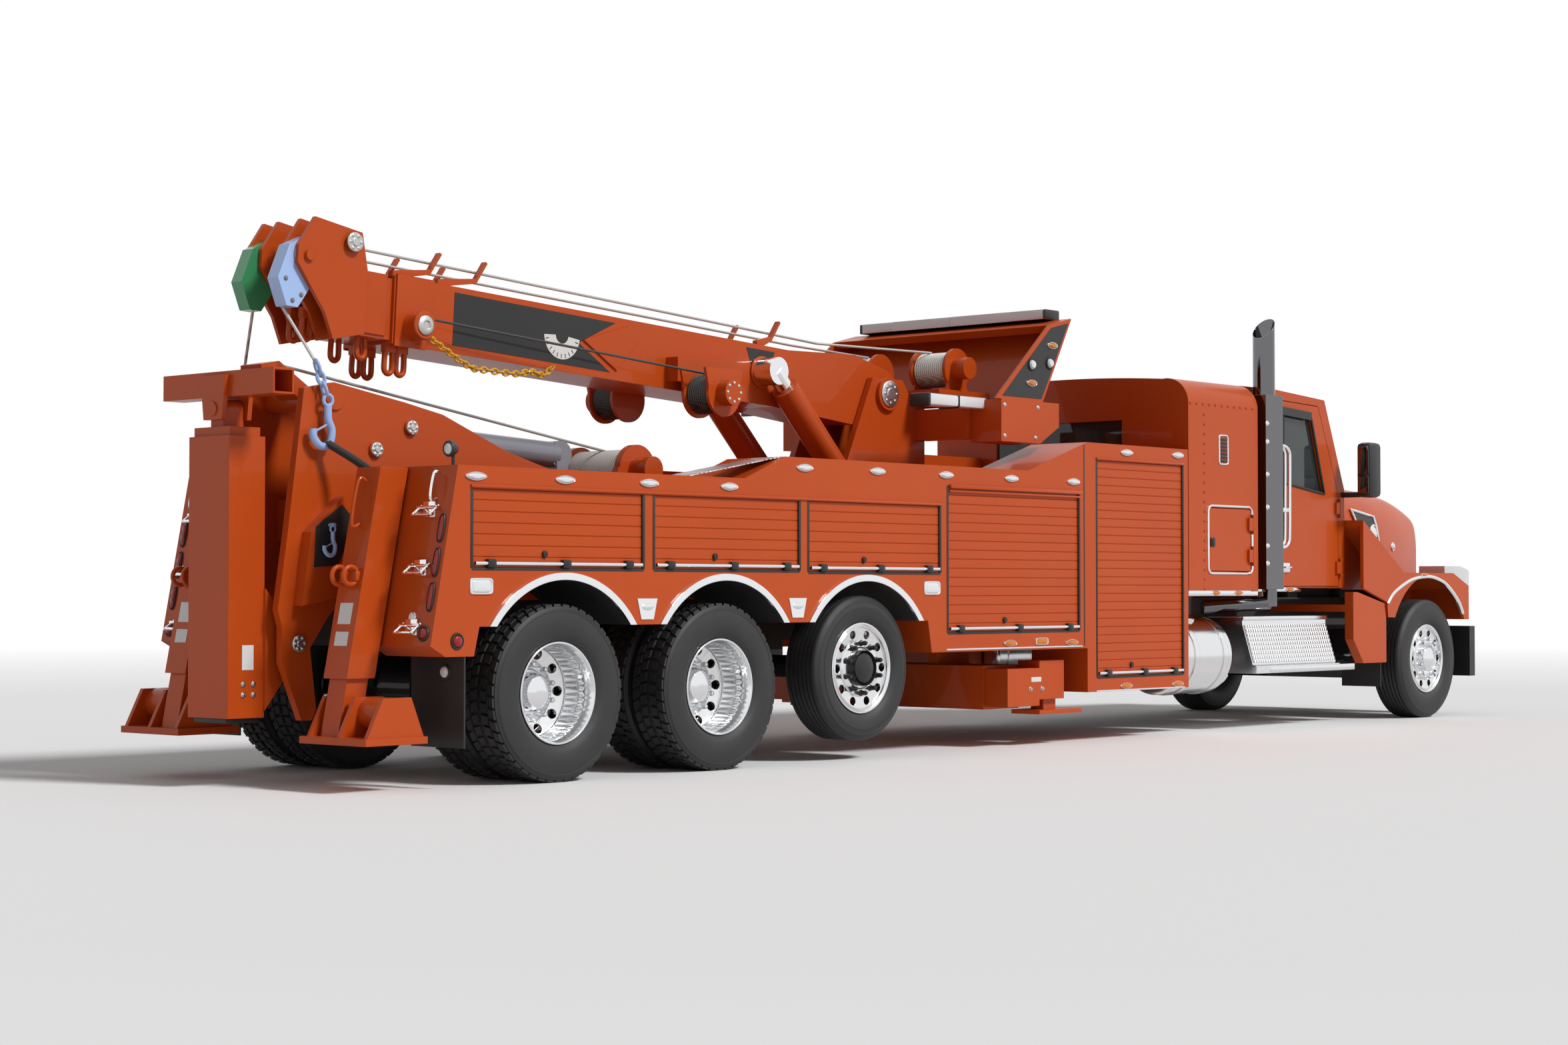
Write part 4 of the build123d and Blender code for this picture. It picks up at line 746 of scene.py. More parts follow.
# %% Lamp maker
class Lamps:
    """Bezels and lenses that ride on one body."""

    def __init__(self, body):
        self.body = body
        self.bezel, self.grommet = Shape(), Shape()
        self.lens = {}

    def add(self, centre, facing, half, colour=LENS_CLEAR, power=2.0, rise=0.016, rubber=False):
        """One lamp; power squares its outline off and rise is how far its lens bulges."""
        rim = min(half) * 0.30
        seat = 0.006
        ring = [(1, 0, -0.004), (1, 0, 0.004), (1, -rim * 0.3, 0.010), (1, -rim * 0.7, 0.010),
                (1, -rim, 0.005)]
        (self.grommet if rubber else self.bezel).oval(centre, facing, half, ring, power=power)
        glass = self.lens.setdefault(colour.name, (colour, Shape()))[1]
        bulge = [(1, -rim, 0.004), (0.94, -rim, seat + rise * 0.4), (0.7, -rim * 0.7, seat + rise * 0.8),
                 (0, 0, seat + rise)]
        glass.oval(centre, facing, half, bulge, power=power)

    def done(self, name):
        """Makes one object of the bezels, one of the grommets and one of each colour's lenses."""
        for part, shape, material in (("bezels", self.bezel, CHROME), ("grommets", self.grommet, RUBBER)):
            if shape.mesh.verts:
                shape.done(f"{name}_{part}", material, self.body)
        for colour, shape in self.lens.values():
            shape.done(f"{name}_{colour.name}", colour, self.body)


print("lamp maker ready")

# %% [markdown]
# ## Lamps along the body
# Eye-shaped clear markers follow the rail, amber ones the lower strips, and a clear rectangle stands at each
# end of the wheel arches. The places are read off the photograph once, as stations and heights, and the other
# side mirrors them.

# %% Body lamps
BODY_Y = 1.240
RAIL_LAMPS = ((-0.682, 1.746), (0.006, 1.747), (0.699, 1.749), (1.405, 1.749), (2.116, 1.890), (2.847, 1.893),
              (3.580, 1.893), (4.324, 1.892), (5.073, 1.893), (5.755, 2.130), (6.444, 2.137))
ARCH_LAMPS = ((-0.638, 1.132), (3.427, 1.125))
STRIP_LAMPS = ((4.305, 0.740), (5.048, 0.735), (5.742, 0.404), (6.432, 0.401))
EYE, FLAT = 1.7, 0.006

lamps = Lamps("chassis")
for side, hand in SIDES:
    out = (0, side, 0)
    for station, z in RAIL_LAMPS:
        lamps.add(at(station, side * BODY_Y, z), out, (0.080, 0.026), LENS_CLEAR, EYE)
    for station, z in ARCH_LAMPS:
        lamps.add(at(station, side * BODY_Y, z), out, (0.086, 0.049), LENS_CLEAR, 6.0, FLAT)
    for station, z in STRIP_LAMPS:
        lamps.add(at(station, side * BODY_Y, z), out, (0.076, 0.024), LENS_AMBER, EYE)
    lamps.add(at(4.680, side * BODY_Y, 0.749), out, (0.075, 0.026), LENS_AMBER, 5.0, FLAT)
    lamps.add(at(-0.816, side * BODY_Y, 0.826), out, (0.048, 0.048), LENS_RED, rubber=True)
lamps.done("body_lamps")
print("body lamps:", 2 * (len(RAIL_LAMPS) + len(ARCH_LAMPS) + len(STRIP_LAMPS) + 2))

# %% [markdown]
# ## Roller doors' hardware
# A roll-up door is pulled down by a bar along its foot, held by a clamp at each end and one in the middle,
# with a lock beside it, and it runs in black seals. The bar is round stock; the clamps are small castings.
# Above the tall door a double ridge sheds the rain.

# %% Lift bars, seals and ledges
DOORS = (  # first and last station, foot, head
    (-0.709, 0.655, 1.232, 1.678), (0.742, 2.071, 1.232, 1.678), (2.154, 3.520, 1.225, 1.680),
    (3.600, 5.150, 0.820, 1.822), (5.370, 6.520, 0.476, 2.060),
)
DOOR_Y = 1.230
DOOR_BACK = DOOR_Y - 0.01
BAR_RISE, BAR_OUT, BAR_R = 0.028, 0.006, 0.012
CLAMP_LONG, CLAMP_TALL = 0.032, 0.024
LOCK = [(1, 0, 0), (1, 0, 0.012), (0.8, 0, 0.016), (0, 0, 0.016)]
SEAL_HALF = 0.010

bars, clamps, seals, ledges = Shape(), Shape(), Shape(), Shape()
for side, hand in SIDES:
    for first, last, foot, head in DOORS:
        z = foot + BAR_RISE
        y = side * (BODY_Y + BAR_OUT)
        bars.tube([at(first + 0.02, y, z), at(last - 0.02, y, z)], BAR_R)
        for spot in (first + 0.14, (first + last) / 2 + 0.04, last - 0.13):
            clamps.slab(side, (spot - CLAMP_LONG, spot + CLAMP_LONG), (DOOR_Y - 0.004, BODY_Y + 0.021),
                        (z - CLAMP_TALL, z + CLAMP_TALL), 0.006)
        lock = (first + last) / 2 - 0.12
        clamps.oval(at(lock, side * DOOR_Y, z + 0.055), (0, side, 0), (0.020, 0.020), LOCK, sides=16)
        for edge in (first, last):
            seals.slab(side, (edge - SEAL_HALF, edge + SEAL_HALF), (DOOR_BACK, BODY_Y + 0.003),
                       (foot, head), 0.002)
        seals.slab(side, (first, last), (DOOR_BACK, BODY_Y + 0.002), (foot - 0.012, foot + 0.003), 0.002)
    for low, high, reach in ((1.802, 1.829, 0.022), (1.776, 1.792, 0.012)):
        ledges.slab(side, (3.615, 5.165), (DOOR_BACK, BODY_Y + reach), (low, high), 0.007)
    for first, last, head in ((-0.72, 3.53, 1.690), (5.36, 6.53, 2.070)):
        ledges.slab(side, (first, last), (BODY_Y - 0.02, BODY_Y + 0.014), (head - 0.008, head + 0.010), 0.006)
    seals.slab(side, (5.205, 5.217), (BODY_Y - 0.02, BODY_Y + 0.002), (0.710, 2.165), 0.001)
bars.done("door_bars", CHROME, "chassis")
clamps.done("door_clamps", BLACK_PAINT, "chassis")
seals.done("door_seals", RUBBER, "chassis")
ledges.done("door_ledges", ORANGE, "chassis")
print("roller doors fitted:", 2 * len(DOORS))

# %% [markdown]
# ## Bright plates between the wheels
# Between the arches sit pressed silver plates, wider at the head, that guard the paint from stones. Each has
# a raised oval. A plate is an outline pushed to its thickness. Bright strips edge the two low skirts.

# %% Stone plates
STONE_STATIONS = (0.686, 2.050)
STONE_OUTLINE = ((-0.085, 1.060), (0.085, 1.060), (0.052, 0.935), (-0.052, 0.935))
STONE_THICK = 0.005
STONE_OVAL = [(1, 0, 0), (0.9, 0, 0.006), (0.6, 0, 0.008), (0, 0, 0.008)]
SKIRT_STRIPS = ((3.586, 5.181, 0.700, 0.712), (5.36, 6.53, 0.368, 0.380))

plates = Shape()
for side, hand in SIDES:
    for middle in STONE_STATIONS:
        plates.sheet(side, BODY_Y, [(middle + dx, z) for dx, z in STONE_OUTLINE], STONE_THICK)
        plates.oval(at(middle, side * (BODY_Y + STONE_THICK), 1.012), (0, side, 0), (0.050, 0.022),
                    STONE_OVAL, sides=24)
    for first, last, low, high in SKIRT_STRIPS:
        plates.slab(side, (first, last), (BODY_Y - 0.01, BODY_Y + 0.006), (low, high), 0.003)
plates.done("stone_plates", CHROME, "chassis")
print("stone plates:", 2 * len(STONE_STATIONS))

# %% [markdown]
# ## Tread plate on the body
# Where the body's top steps down, a sloped piece of tread plate gives a foothold. It is laid on the body by
# rays from above.

# %% Foothold
FOOTHOLD = ((1.10, 1.20), (1.92, 1.20), (1.92, 0.98), (1.10, 0.98))
ABOVE_ALL = 4.0

foothold = Shape()
for side, hand in SIDES:
    spots = []
    for x, y in FOOTHOLD:
        hit, point, _, _ = nodes["side_bodies"].ray_cast(at(x, side * y, ABOVE_ALL), -UP)
        assert hit, (x, y)
        spots.append(point)
    foothold.plate(spots, UP * 0.005)
foothold.done("deck_tread", TREAD, "chassis")
print("footholds laid: 2")

# %% [markdown]
# ## Mid outriggers
# The outrigger amidships carries a blank plate and a pair of lock pins, which ride on its beam. The beam's
# own box says where its end and its middle are.

# %% Outrigger plates
for side, hand in SIDES:
    label, pins = Shape(), Shape()
    beam_low, beam_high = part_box(f"mid_beam_{hand}")
    outer = max(abs(beam_low[1]), abs(beam_high[1]))
    middle = (beam_low[0] + beam_high[0]) / 2 - REAR_AXLE_X
    z = (beam_low[2] + beam_high[2]) / 2
    label.slab(side, (middle - 0.060, middle + 0.060), (outer - 0.002, outer + 0.002),
               (z + 0.010, z + 0.045), 0.001)
    label.done(f"mid_label_{hand}", WHITE_PLATE, f"mid_beam_{hand}")
    pins.bolts([at(middle + x, side * outer, z - 0.040) for x in (-0.070, 0.070)], (0, side, 0), 0.016, 0.014)
    pins.done(f"mid_pins_{hand}", STEEL, f"mid_beam_{hand}")
print("outrigger plates fitted")

# %% [markdown]
# ## Rear corners
# The body's rear walls lean, so each fitting is laid on the wall by a ray that finds the surface and the way
# it faces. There are three slim red lamps above each other, a round one below, fold-out steps of bright
# bar, a grab handle, and a working lamp on a stem.

# %% Rear wall fittings
SLIM_LAMPS = (1.453, 1.263, 1.071)
STEP_HEIGHTS = (1.560, 1.235, 0.905)
WORK_LAMP = (0.046, 0.046)
LAMP_BACK = [(0.046, -0.002), (0.044, 0.020), (0.030, 0.045), (0, 0.050)]
HANDLE_OUT = Vector((-0.050, 0, 0))
BACKWARD = (-1, 0, 0)


def behind(node, y, z):
    """The rearmost point of a solid at a distance from the middle and a height, and the way it faces."""
    hit, point, normal, _ = nodes[node].ray_cast(at(-4.0, y, z), ALONG)
    assert hit, (node, y, z)
    return point, normal


def fold_step(shape, side, z):
    """A step of bright bar: a hinge plate, two treads and two arms."""
    spot, _ = behind("side_bodies", side * 1.065, z)
    station = spot.x - REAR_AXLE_X
    shape.slab(side, (station - 0.012, station + 0.006), (1.015, 1.115), (z - 0.045, z + 0.045), 0.004)
    for reach in (0.020, 0.060):
        shape.tube([spot + Vector((-reach, side * y, 0.030 - reach)) for y in (-0.085, 0.085)], 0.010, 8)
    for y in (-0.070, 0.070):
        shape.tube([spot + Vector((0, side * y, 0.020)), spot + Vector((-0.070, side * y, -0.030))], 0.008, 8)


lamps = Lamps("chassis")
steps, stems = Shape(), Shape()
for side, hand in SIDES:
    for z in SLIM_LAMPS:
        lamps.add(*behind("side_bodies", side * 1.185, z), (0.027, 0.084), LENS_RED, 2.6, 0.012, True)
    lamps.add(*behind("side_bodies", side * 1.170, 0.870), (0.045, 0.045), LENS_RED, rubber=True)
    lamps.add(*behind("side_bodies", side * 1.060, 0.960), (0.030, 0.030), LENS_CLEAR)
    for z in STEP_HEIGHTS:
        fold_step(steps, side, z)
    high, low = [behind("side_bodies", side * 1.110, z)[0] for z in (1.760, 1.620)]
    steps.tube(smooth([high, high + HANDLE_OUT, low + HANDLE_OUT, low], 5), 0.010, 8)
    foot = at(-0.768, side * 1.150, 1.780)
    stems.tube([foot, foot + UP * 0.085], 0.010, 8)
    head = at(-0.800, side * 1.150, 1.898)
    lamps.add(head, BACKWARD, WORK_LAMP, LENS_CLEAR, 2.0, 0.012, True)
    stems.turned(head, ALONG, LAMP_BACK, sides=24)
    lamps.add(at(-0.762, side * 1.080, 0.652), BACKWARD, WORK_LAMP, LENS_CLEAR, 2.0, 0.012, True)
lamps.done("rear_lamps")
steps.done("rear_steps", CHROME, "chassis")
stems.done("lamp_stems", BLACK_PAINT, "chassis")
print("rear corners fitted:", 2 * len(STEP_HEIGHTS), "steps")

# %% [markdown]
# ## Caps and hooks
# A pin is kept by a turned cap with a ring of bolts. A forged hook is a bar bent back on itself, with an eye
# at its root and a latch across its mouth. Both come back at several sizes, so each is a function; the hook
# is a round bar along a soft line, which takes seven points.

# %% Cap and hook makers
HOOK_LINE = ((0, 0), (0.01, -0.35), (0.12, -0.62), (0.05, -0.95), (-0.22, -1.02), (-0.44, -0.82),
             (-0.46, -0.60))
CAP_RISE = 0.012


def cap(shape, centre, side, radius, bolts=6):
    """A turned cap with a ring of bolts."""
    out = Vector((0, side, 0))
    profile = [(radius, -0.002), (radius, 0.008), (radius * 0.92, CAP_RISE), (radius * 0.45, CAP_RISE),
               (radius * 0.40, 0.018), (0, 0.018)]
    shape.turned(centre, out, profile, sides=32)
    spots = [math.tau * k / bolts for k in range(bolts)]
    shape.bolts([centre + (ALONG * math.cos(t) + UP * math.sin(t)) * radius * 0.7 + out * CAP_RISE
                 for t in spots], out, 0.007, 0.006)


def hook(shape, root, size):
    """A hook hanging from its root in a plane along the truck."""
    points = smooth([root + Vector((x * size, 0, z * size)) for x, z in HOOK_LINE])
    shape.tube(points, size * 0.10, 12)
    shape.tube(arc(root + UP * size * 0.13, ALONG, UP, size * 0.14, 0, 330, 11), size * 0.05, 8, True)
    shape.tube([points[8], points[-4]], size * 0.03, 6)


print("cap and hook makers ready")

# %% [markdown]
# ## Underlift fittings
# The stinger folds on a pin kept by a turned cap. A blank white plate sits low on its side above four
# bolts, and a black wear pad covers its foot. The tower has a black pad where the hook swings, and the
# hook is hung on a peg so that it does not rattle.

# %% Stinger and tower fittings
STINGER_LABEL = ((-1.480, 0.800), (-1.400, 0.800), (-1.400, 0.660), (-1.480, 0.660))
TOWER_PINS = ((-0.354, 2.069), (-0.622, 1.929))
TOWER_PIN_END = 0.314
FOLD_PIN = (-1.184, 0.807)
SHIELD = ((-1.118, 1.470), (-0.930, 1.600), (-0.830, 1.500), (-0.960, 1.250), (-1.130, 1.240))
SHIELD_Y = 0.380

caps, labels, pads, tower_caps, tower_pads, stow = Shape(), Shape(), Shape(), Shape(), Shape(), Shape()
for side, hand in SIDES:
    face = abs(skin_at("stinger", -1.440, 0.720, side)[0].y)
    labels.sheet(side, face, STINGER_LABEL, 0.002)
    caps.bolts([at(x, side * face, z) for x in (-1.470, -1.400) for z in (0.520, 0.580)], (0, side, 0), 0.014)
    for x, z in TOWER_PINS:
        cap(tower_caps, at(x, side * TOWER_PIN_END, z), side, 0.044)
    fold_y = skin_at("underlift_tower", *FOLD_PIN, 1)[0].y
    cap(tower_caps, at(FOLD_PIN[0], side * fold_y, FOLD_PIN[1]), side, 0.048)
    tower_pads.sheet(side, SHIELD_Y, SHIELD, 0.004)
    stow.tube([at(-1.020, side * y, 1.480) for y in (SHIELD_Y, 0.430)], 0.012, 8)
    hook(stow, at(-1.020, side * 0.412, 1.440), 0.130)
pads.block((-1.560, -0.150, 0.362), (-1.335, 0.150, 0.392), 0.006)
labels.done("stinger_labels", WHITE_PLATE, "stinger")
caps.done("stinger_bolts", STEEL, "stinger")
pads.done("stinger_pad", RUBBER, "stinger")
tower_caps.done("tower_caps", STEEL, "chassis")
tower_pads.done("tower_pads", RUBBER, "chassis")
stow.done("tower_hooks", SKY_PAINT, "chassis")
print("underlift fitted:", 2 * len(TOWER_PINS) + 2, "pin caps, 2 hooks")

# %% [markdown]
# ## Leg columns
# Each rear column carries two rings for tying down, a bent bar to hold on to, and blank plates. The rings are
# bent bars closed to a loop.

# %% Column fittings
COLUMN = "outrigger_housings"
COLUMN_Y = 0.740
GRIP_OUT = Vector((-0.060, 0, 0))
LABEL_HALF = 0.055

rings, bent, plates = Shape(), Shape(), Shape()
for side, hand in SIDES:
    for y in (0.690, 0.790):
        spot, _ = behind(COLUMN, side * y, 1.200)
        station = spot.x - REAR_AXLE_X
        rings.tube(arc(spot + Vector((-0.050, 0, -0.010)), ALONG, UP, 0.050, 0, 345, 23), 0.014, 10, True)
        rings.slab(side, (station - 0.030, station + 0.020), (y - 0.022, y + 0.022), (1.160, 1.215), 0.006)
    high, low = [behind(COLUMN, side * COLUMN_Y, z)[0] for z in (1.720, 1.480)]
    bent.tube(smooth([high, high + GRIP_OUT, low + GRIP_OUT, low], 5), 0.010, 8)
    for z, tall in ((0.980, 0.060), (0.840, 0.040)):
        spot, normal = behind(COLUMN, side * COLUMN_Y, z)
        wide = Vector((0, side, 0))
        rise = normal.cross(wide).normalized()
        corners = ((-1, -1), (1, -1), (1, 1), (-1, 1))
        plates.plate([spot + wide * a * LABEL_HALF + rise * b * tall for a, b in corners], normal * 0.002)
rings.done("column_rings", ORANGE, "chassis")
bent.done("column_handles", ORANGE, "chassis")
plates.done("column_labels", WHITE_PLATE, "chassis")
print("columns fitted: 4 rings, 2 handles, 4 blank plates")

# %% [markdown]
# ## Boom markings
# The boom's sides carry black panels and a blank white dial with ticks, of the kind that shows a boom's
# angle. They are stickers, so each is a thin plate laid on the side of the tube. They are drawn in the boom's
# own directions: u runs from its heel to its head, and v square to it.

# %% Boom directions
BOOM_TILT = math.radians(3.3)
HEEL_X, HEEL_Z = 4.121, 2.520


def boom(u, y, v):
    """A point along the boom, to its left and above its middle line."""
    return at(HEEL_X - u * math.cos(BOOM_TILT) + v * math.sin(BOOM_TILT), y,
              HEEL_Z + u * math.sin(BOOM_TILT) + v * math.cos(BOOM_TILT))


BOOM_ALONG = (boom(1, 0, 0) - boom(0, 0, 0)).normalized()
BOOM_UP = (boom(0, 0, 1) - boom(0, 0, 0)).normalized()
BOOM_SIDE = abs(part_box("boom_inner")[0][1])
TUBE_Y = abs(skin_at("boom_outer", HEEL_X - 3.4, HEEL_Z + 3.4 * math.sin(BOOM_TILT), -1)[0].y)
print("boom tube's side at y =", round(TUBE_Y, 3))

# %% [markdown]
# ## Boom panels
# Each panel is one outline, in u and v. The dial is a half ring: an outer arc and an inner one run back, and
# its ticks are short round bars between two more arcs.

# %% Boom panels
PANELS = (
    ((4.080, 0.158), (2.706, 0.155), (3.027, -0.013), (2.737, -0.169), (4.080, -0.165)),
    ((1.450, 0.160), (1.160, 0.160), (1.199, 0.047), (1.321, -0.108)),
)
BRACE = ((2.990, 0.008), (2.584, 0.152), (2.500, 0.060), (2.683, -0.152))
STICKER = 0.002


def dial_arc(middle, radius, start, stop, steps):
    """An arc in the plane of the boom's side."""
    return arc(middle, BOOM_ALONG, BOOM_UP, radius, start, stop, steps)


panels, dials, ticks, stiffeners = Shape(), Shape(), Shape(), Shape()
for side, hand in SIDES:
    raised = Vector((0, side * STICKER, 0))
    for outline in PANELS:
        panels.sheet(side, TUBE_Y, outline, STICKER, boom)
    middle = boom(3.176, side * (TUBE_Y + STICKER), 0.016)
    dials.plate(dial_arc(middle, 0.155, -175, -5, 24) + dial_arc(middle, 0.055, -5, -175, 24), raised)
    for near, far in zip(dial_arc(middle, 0.120, -165, -15, 10), dial_arc(middle, 0.145, -165, -15, 10)):
        ticks.tube([near + raised, far + raised], 0.003, 6)
    stiffeners.sheet(side, TUBE_Y, BRACE, 0.012, boom)
panels.done("boom_panels", BLACK_PAINT, "boom_outer")
dials.done("boom_dials", WHITE_PLATE, "boom_outer")
ticks.done("boom_ticks", BLACK_PAINT, "boom_outer")
stiffeners.done("boom_stiffeners", ORANGE, "boom_outer")
print("boom panels:", 2 * len(PANELS), "and 2 dials")

# %% [markdown]
# ## Rope guides and chain lugs
# Bent arms stand along the boom's top and keep a slack rope from falling off. Below the mouth and the head
# hang slotted lugs for chain. Both were cut from thick plate, so they are outlines pushed to a thickness,
# and a bent bar rounds each slot.

# %% Guides and lugs
GUIDES = ((4.560, 0.290), (4.210, 0.310), (1.330, 0.150))
BOOM_TOP = 0.193
MOUTH_BAND = ((4.250, 0.204), (4.540, 0.204), (4.540, -0.226), (4.300, -0.226))
LUG_HALF, LUG_THICK, LUG_SLOT = 0.042, 0.044, 0.14
LUG_LOOP = ((-0.028, LUG_SLOT), (-0.030, 0.05), (-0.018, 0.022), (0, 0.016), (0.018, 0.022), (0.030, 0.05),
            (0.028, LUG_SLOT))


def lug(shape, u, y, top, low):
    """A slotted chain lug below the boom: a bent bar round its slot and a plate above it."""
    near = y - LUG_THICK / 2
    corners = ((-LUG_HALF, top), (LUG_HALF, top), (LUG_HALF, low + LUG_SLOT), (-LUG_HALF, low + LUG_SLOT))
    shape.plate([boom(u + du, near, v) for du, v in corners], Vector((0, LUG_THICK, 0)))
    shape.tube(smooth([boom(u + x, y, low + z) for x, z in LUG_LOOP], 4), 0.018, 8)


guides, head_lugs = Shape(), Shape()
for side, hand in SIDES:
    for start, reach in GUIDES:
        tip = start - reach
        outline = [(start, -0.005), (start, 0.030), (tip, 0.075), (tip - 0.070, 0.190), (tip - 0.085, 0.180),
                   (tip, 0.045), (start - 0.060, -0.005)]
        guides.sheet(side, 0.172, [(u, BOOM_TOP + v) for u, v in outline], 0.042, boom)
    for u in (4.420, 4.510):
        lug(guides, u, side * 0.150, -0.200, -0.400)
    guides.sheet(side, TUBE_Y, MOUTH_BAND, 0.012, boom)
    lug(head_lugs, 5.060, side * 0.058, -0.060, -0.262)
    lug(head_lugs, 4.700, side * 0.120, -0.170, -0.330)
guides.done("boom_guides", ORANGE, "boom_outer")
head_lugs.done("head_lugs", ORANGE, "boom_inner")
print("guides and lugs:", 2 * len(GUIDES), "guides, 8 lugs")

# %% [markdown]
# ## Winch drums
# A winch drum carries its rope in even turns, laid side by side. Each turn is close to a ring, so a ridged
# turned form stands for a whole layer, a little larger than the drum. The main and deck drums hold pale rope
# and the boom's drums dark rope, beside a ring of bolts on the motor's cover.

# %% Wound rope
ROPE_R = 0.009
MAIN_DRUM, SIDE_DRUM, DECK_DRUM = (4.640, 2.720), (2.100, 2.400), (1.575, 1.885)


def wound(shape, drum, side, first, last, radius):
    """Turns of rope on a drum between two distances from the middle."""
    turns = int((last - first) / (2 * ROPE_R))
    pitch = (last - first) / turns
    ridges = []
    for k in range(turns):
        start = first + k * pitch
        ridges += [(radius, start), (radius + ROPE_R * 0.8, start + pitch * 0.25),
                   (radius + ROPE_R, start + pitch * 0.5), (radius + ROPE_R * 0.8, start + pitch * 0.75)]
    shape.turned(at(drum[0], 0, drum[1]), (0, side, 0), ridges + [(radius, last)], sides=40)


main_rope, side_rope, deck_rope, covers = Shape(), Shape(), Shape(), Shape()
for side, hand in SIDES:
    wound(main_rope, MAIN_DRUM, side, 0.217, 0.498, 0.118)
    wound(side_rope, SIDE_DRUM, side, 0.344, 0.538, 0.122)
    cover = at(SIDE_DRUM[0], side * 0.650, SIDE_DRUM[1])
    covers.bolts(arc(cover, ALONG, UP, 0.062, 0, 315, 7), (0, side, 0), 0.008, 0.006)
wound(deck_rope, DECK_DRUM, 1, -0.232, 0.232, 0.128)
deck_rope.done("deck_rope_layers", ROPE, "chassis")
main_rope.done("main_rope_layers", ROPE, "turret")
side_rope.done("side_rope_layers", DARK_ROPE, "boom_outer")
covers.done("side_winch_bolts", STEEL, "boom_outer")
print("rope wound on 5 drums")

# %% [markdown]
# ## Ropes under tension
# Ropes run from the drums over the boom to the head and hang tight, so each is a straight strand. A strand
# between two parts that move, from the turret to the boom and from the base section to the inner one, is
# left where it stands, on no body.

# %% Ropes
STRAND_STEPS = 8


def strand(name, first, last, radius, material, body, between=None):
    """A tight rope from one point to another, riding on one body, or on none when it runs between two."""
    rope = Shape()
    line = [first.lerp(last, k / STRAND_STEPS) for k in range(STRAND_STEPS)]
    rope.tube(line + [last], radius, 8)
    obj = rope.done(name, material, None if between else body)
    if between:
        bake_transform(obj)


for side, hand in SIDES:
    heel = boom(0.60, side * 0.115, 0.300)
    drum_top = at(4.62, side * 0.30, 2.848)
    block_top = boom(5.200, side * 0.169, 0.322)
    strand(f"rope_heel_{hand}", drum_top, heel, ROPE_R, ROPE, "turret", "boom_outer")
    strand(f"rope_boom_{hand}", heel, block_top, ROPE_R, ROPE, "boom_outer", "boom_inner")
    eye_top = boom(4.36, side * (TUBE_Y + 0.108), -0.050)
    strand(f"rope_side_{hand}", at(2.075, side * 0.430, 2.531), eye_top, 0.008, DARK_ROPE, "boom_outer")
strand("rope_deck", at(-1.150, 0, 2.420), at(1.560, 0, 2.016), ROPE_R, ROPE, "chassis")
print("ropes run: 7")

# %% [markdown]
# ## Hooks and chains
# Below each sheave block a rope falls to a short chain and a painted hook. Chain is a row of links, each a
# loop turned square to the last, so it is laid along even points of a line. A black strap ties a hook back.

# %% Fall lines
def chain(shape, points, wire, length):
    """Links along a line of points."""
    half, wide = length / 2, length * 0.30
    for k, (first, second) in enumerate(zip(points, points[1:])):
        way = (second - first).normalized()
        flat = way.cross(Vector((0, 1, 0)) if k % 2 else UP).normalized()
        middle = (first + second) / 2
        ring = [middle + way * math.cos(t) * half + flat * math.sin(t) * wide
                for t in [math.tau * j / 12 for j in range(12)]]
        shape.tube(ring, wire, 6, True)


def along(points, step):
    """Even points along a line."""
    spots = [points[0]]
    for first, second in zip(points, points[1:]):
        count = max(1, round((second - first).length / step))
        spots += [first.lerp(second, (k + 1) / count) for k in range(count)]
    return spots


STRAP = ((-1.030, -0.350, 1.950), (-0.930, -0.480, 1.850), (-0.880, -0.640, 1.745))

for side, hand, paint in ((-1, "right", SKY_PAINT), (1, "left", GREEN_PAINT)):
    strand(f"rope_fall_{hand}", boom(5.300, side * 0.130, -0.080), at(-1.084, side * 0.330, 2.408),
           ROPE_R, ROPE, "boom_inner")
    line = Shape()
    links = along([at(-1.084, side * 0.330, 2.415), at(-1.020, side * 0.345, 2.225)], 0.062)
    chain(line, links, 0.011, 0.082)
    hook(line, at(-1.010, side * 0.350, 2.165), 0.230)
    line.done(f"fall_hook_{hand}", paint, "boom_inner")
sling = Shape()
for shift in (0.0, 0.030):
    sling.tube(smooth([at(x, y - shift, z) for x, y, z in STRAP], 6), 0.018, 8)
sling.done("tie_strap", RUBBER, "chassis")
print("fall lines hung: 2")

# %% [markdown]
# ## Eyes and the slack chain
# A round boss on each side of the boom's mouth takes the side winch's rope, under a turned steel cap. On the
# near side a yellow chain hangs from it in a shallow bow, back to the tube. Its points are listed.

# %% Boom eyes and chain
CHAIN_LINE = ((0.142, 2.468), (0.287, 2.454), (0.424, 2.447), (0.552, 2.447), (0.659, 2.469), (0.757, 2.452))
EYE_U, EYE_V = 4.40, -0.095
EYE_BOSS = [(0.098, -0.004), (0.085, 0.016), (0.085, 0.114), (0.079, 0.120), (0.030, 0.120)]
EYE_CAP = [(1, 0, 0), (1, 0, 0.008), (0.75, 0, 0.018), (0.45, 0, 0.018), (0.4, 0, 0.010), (0, 0, 0.010)]

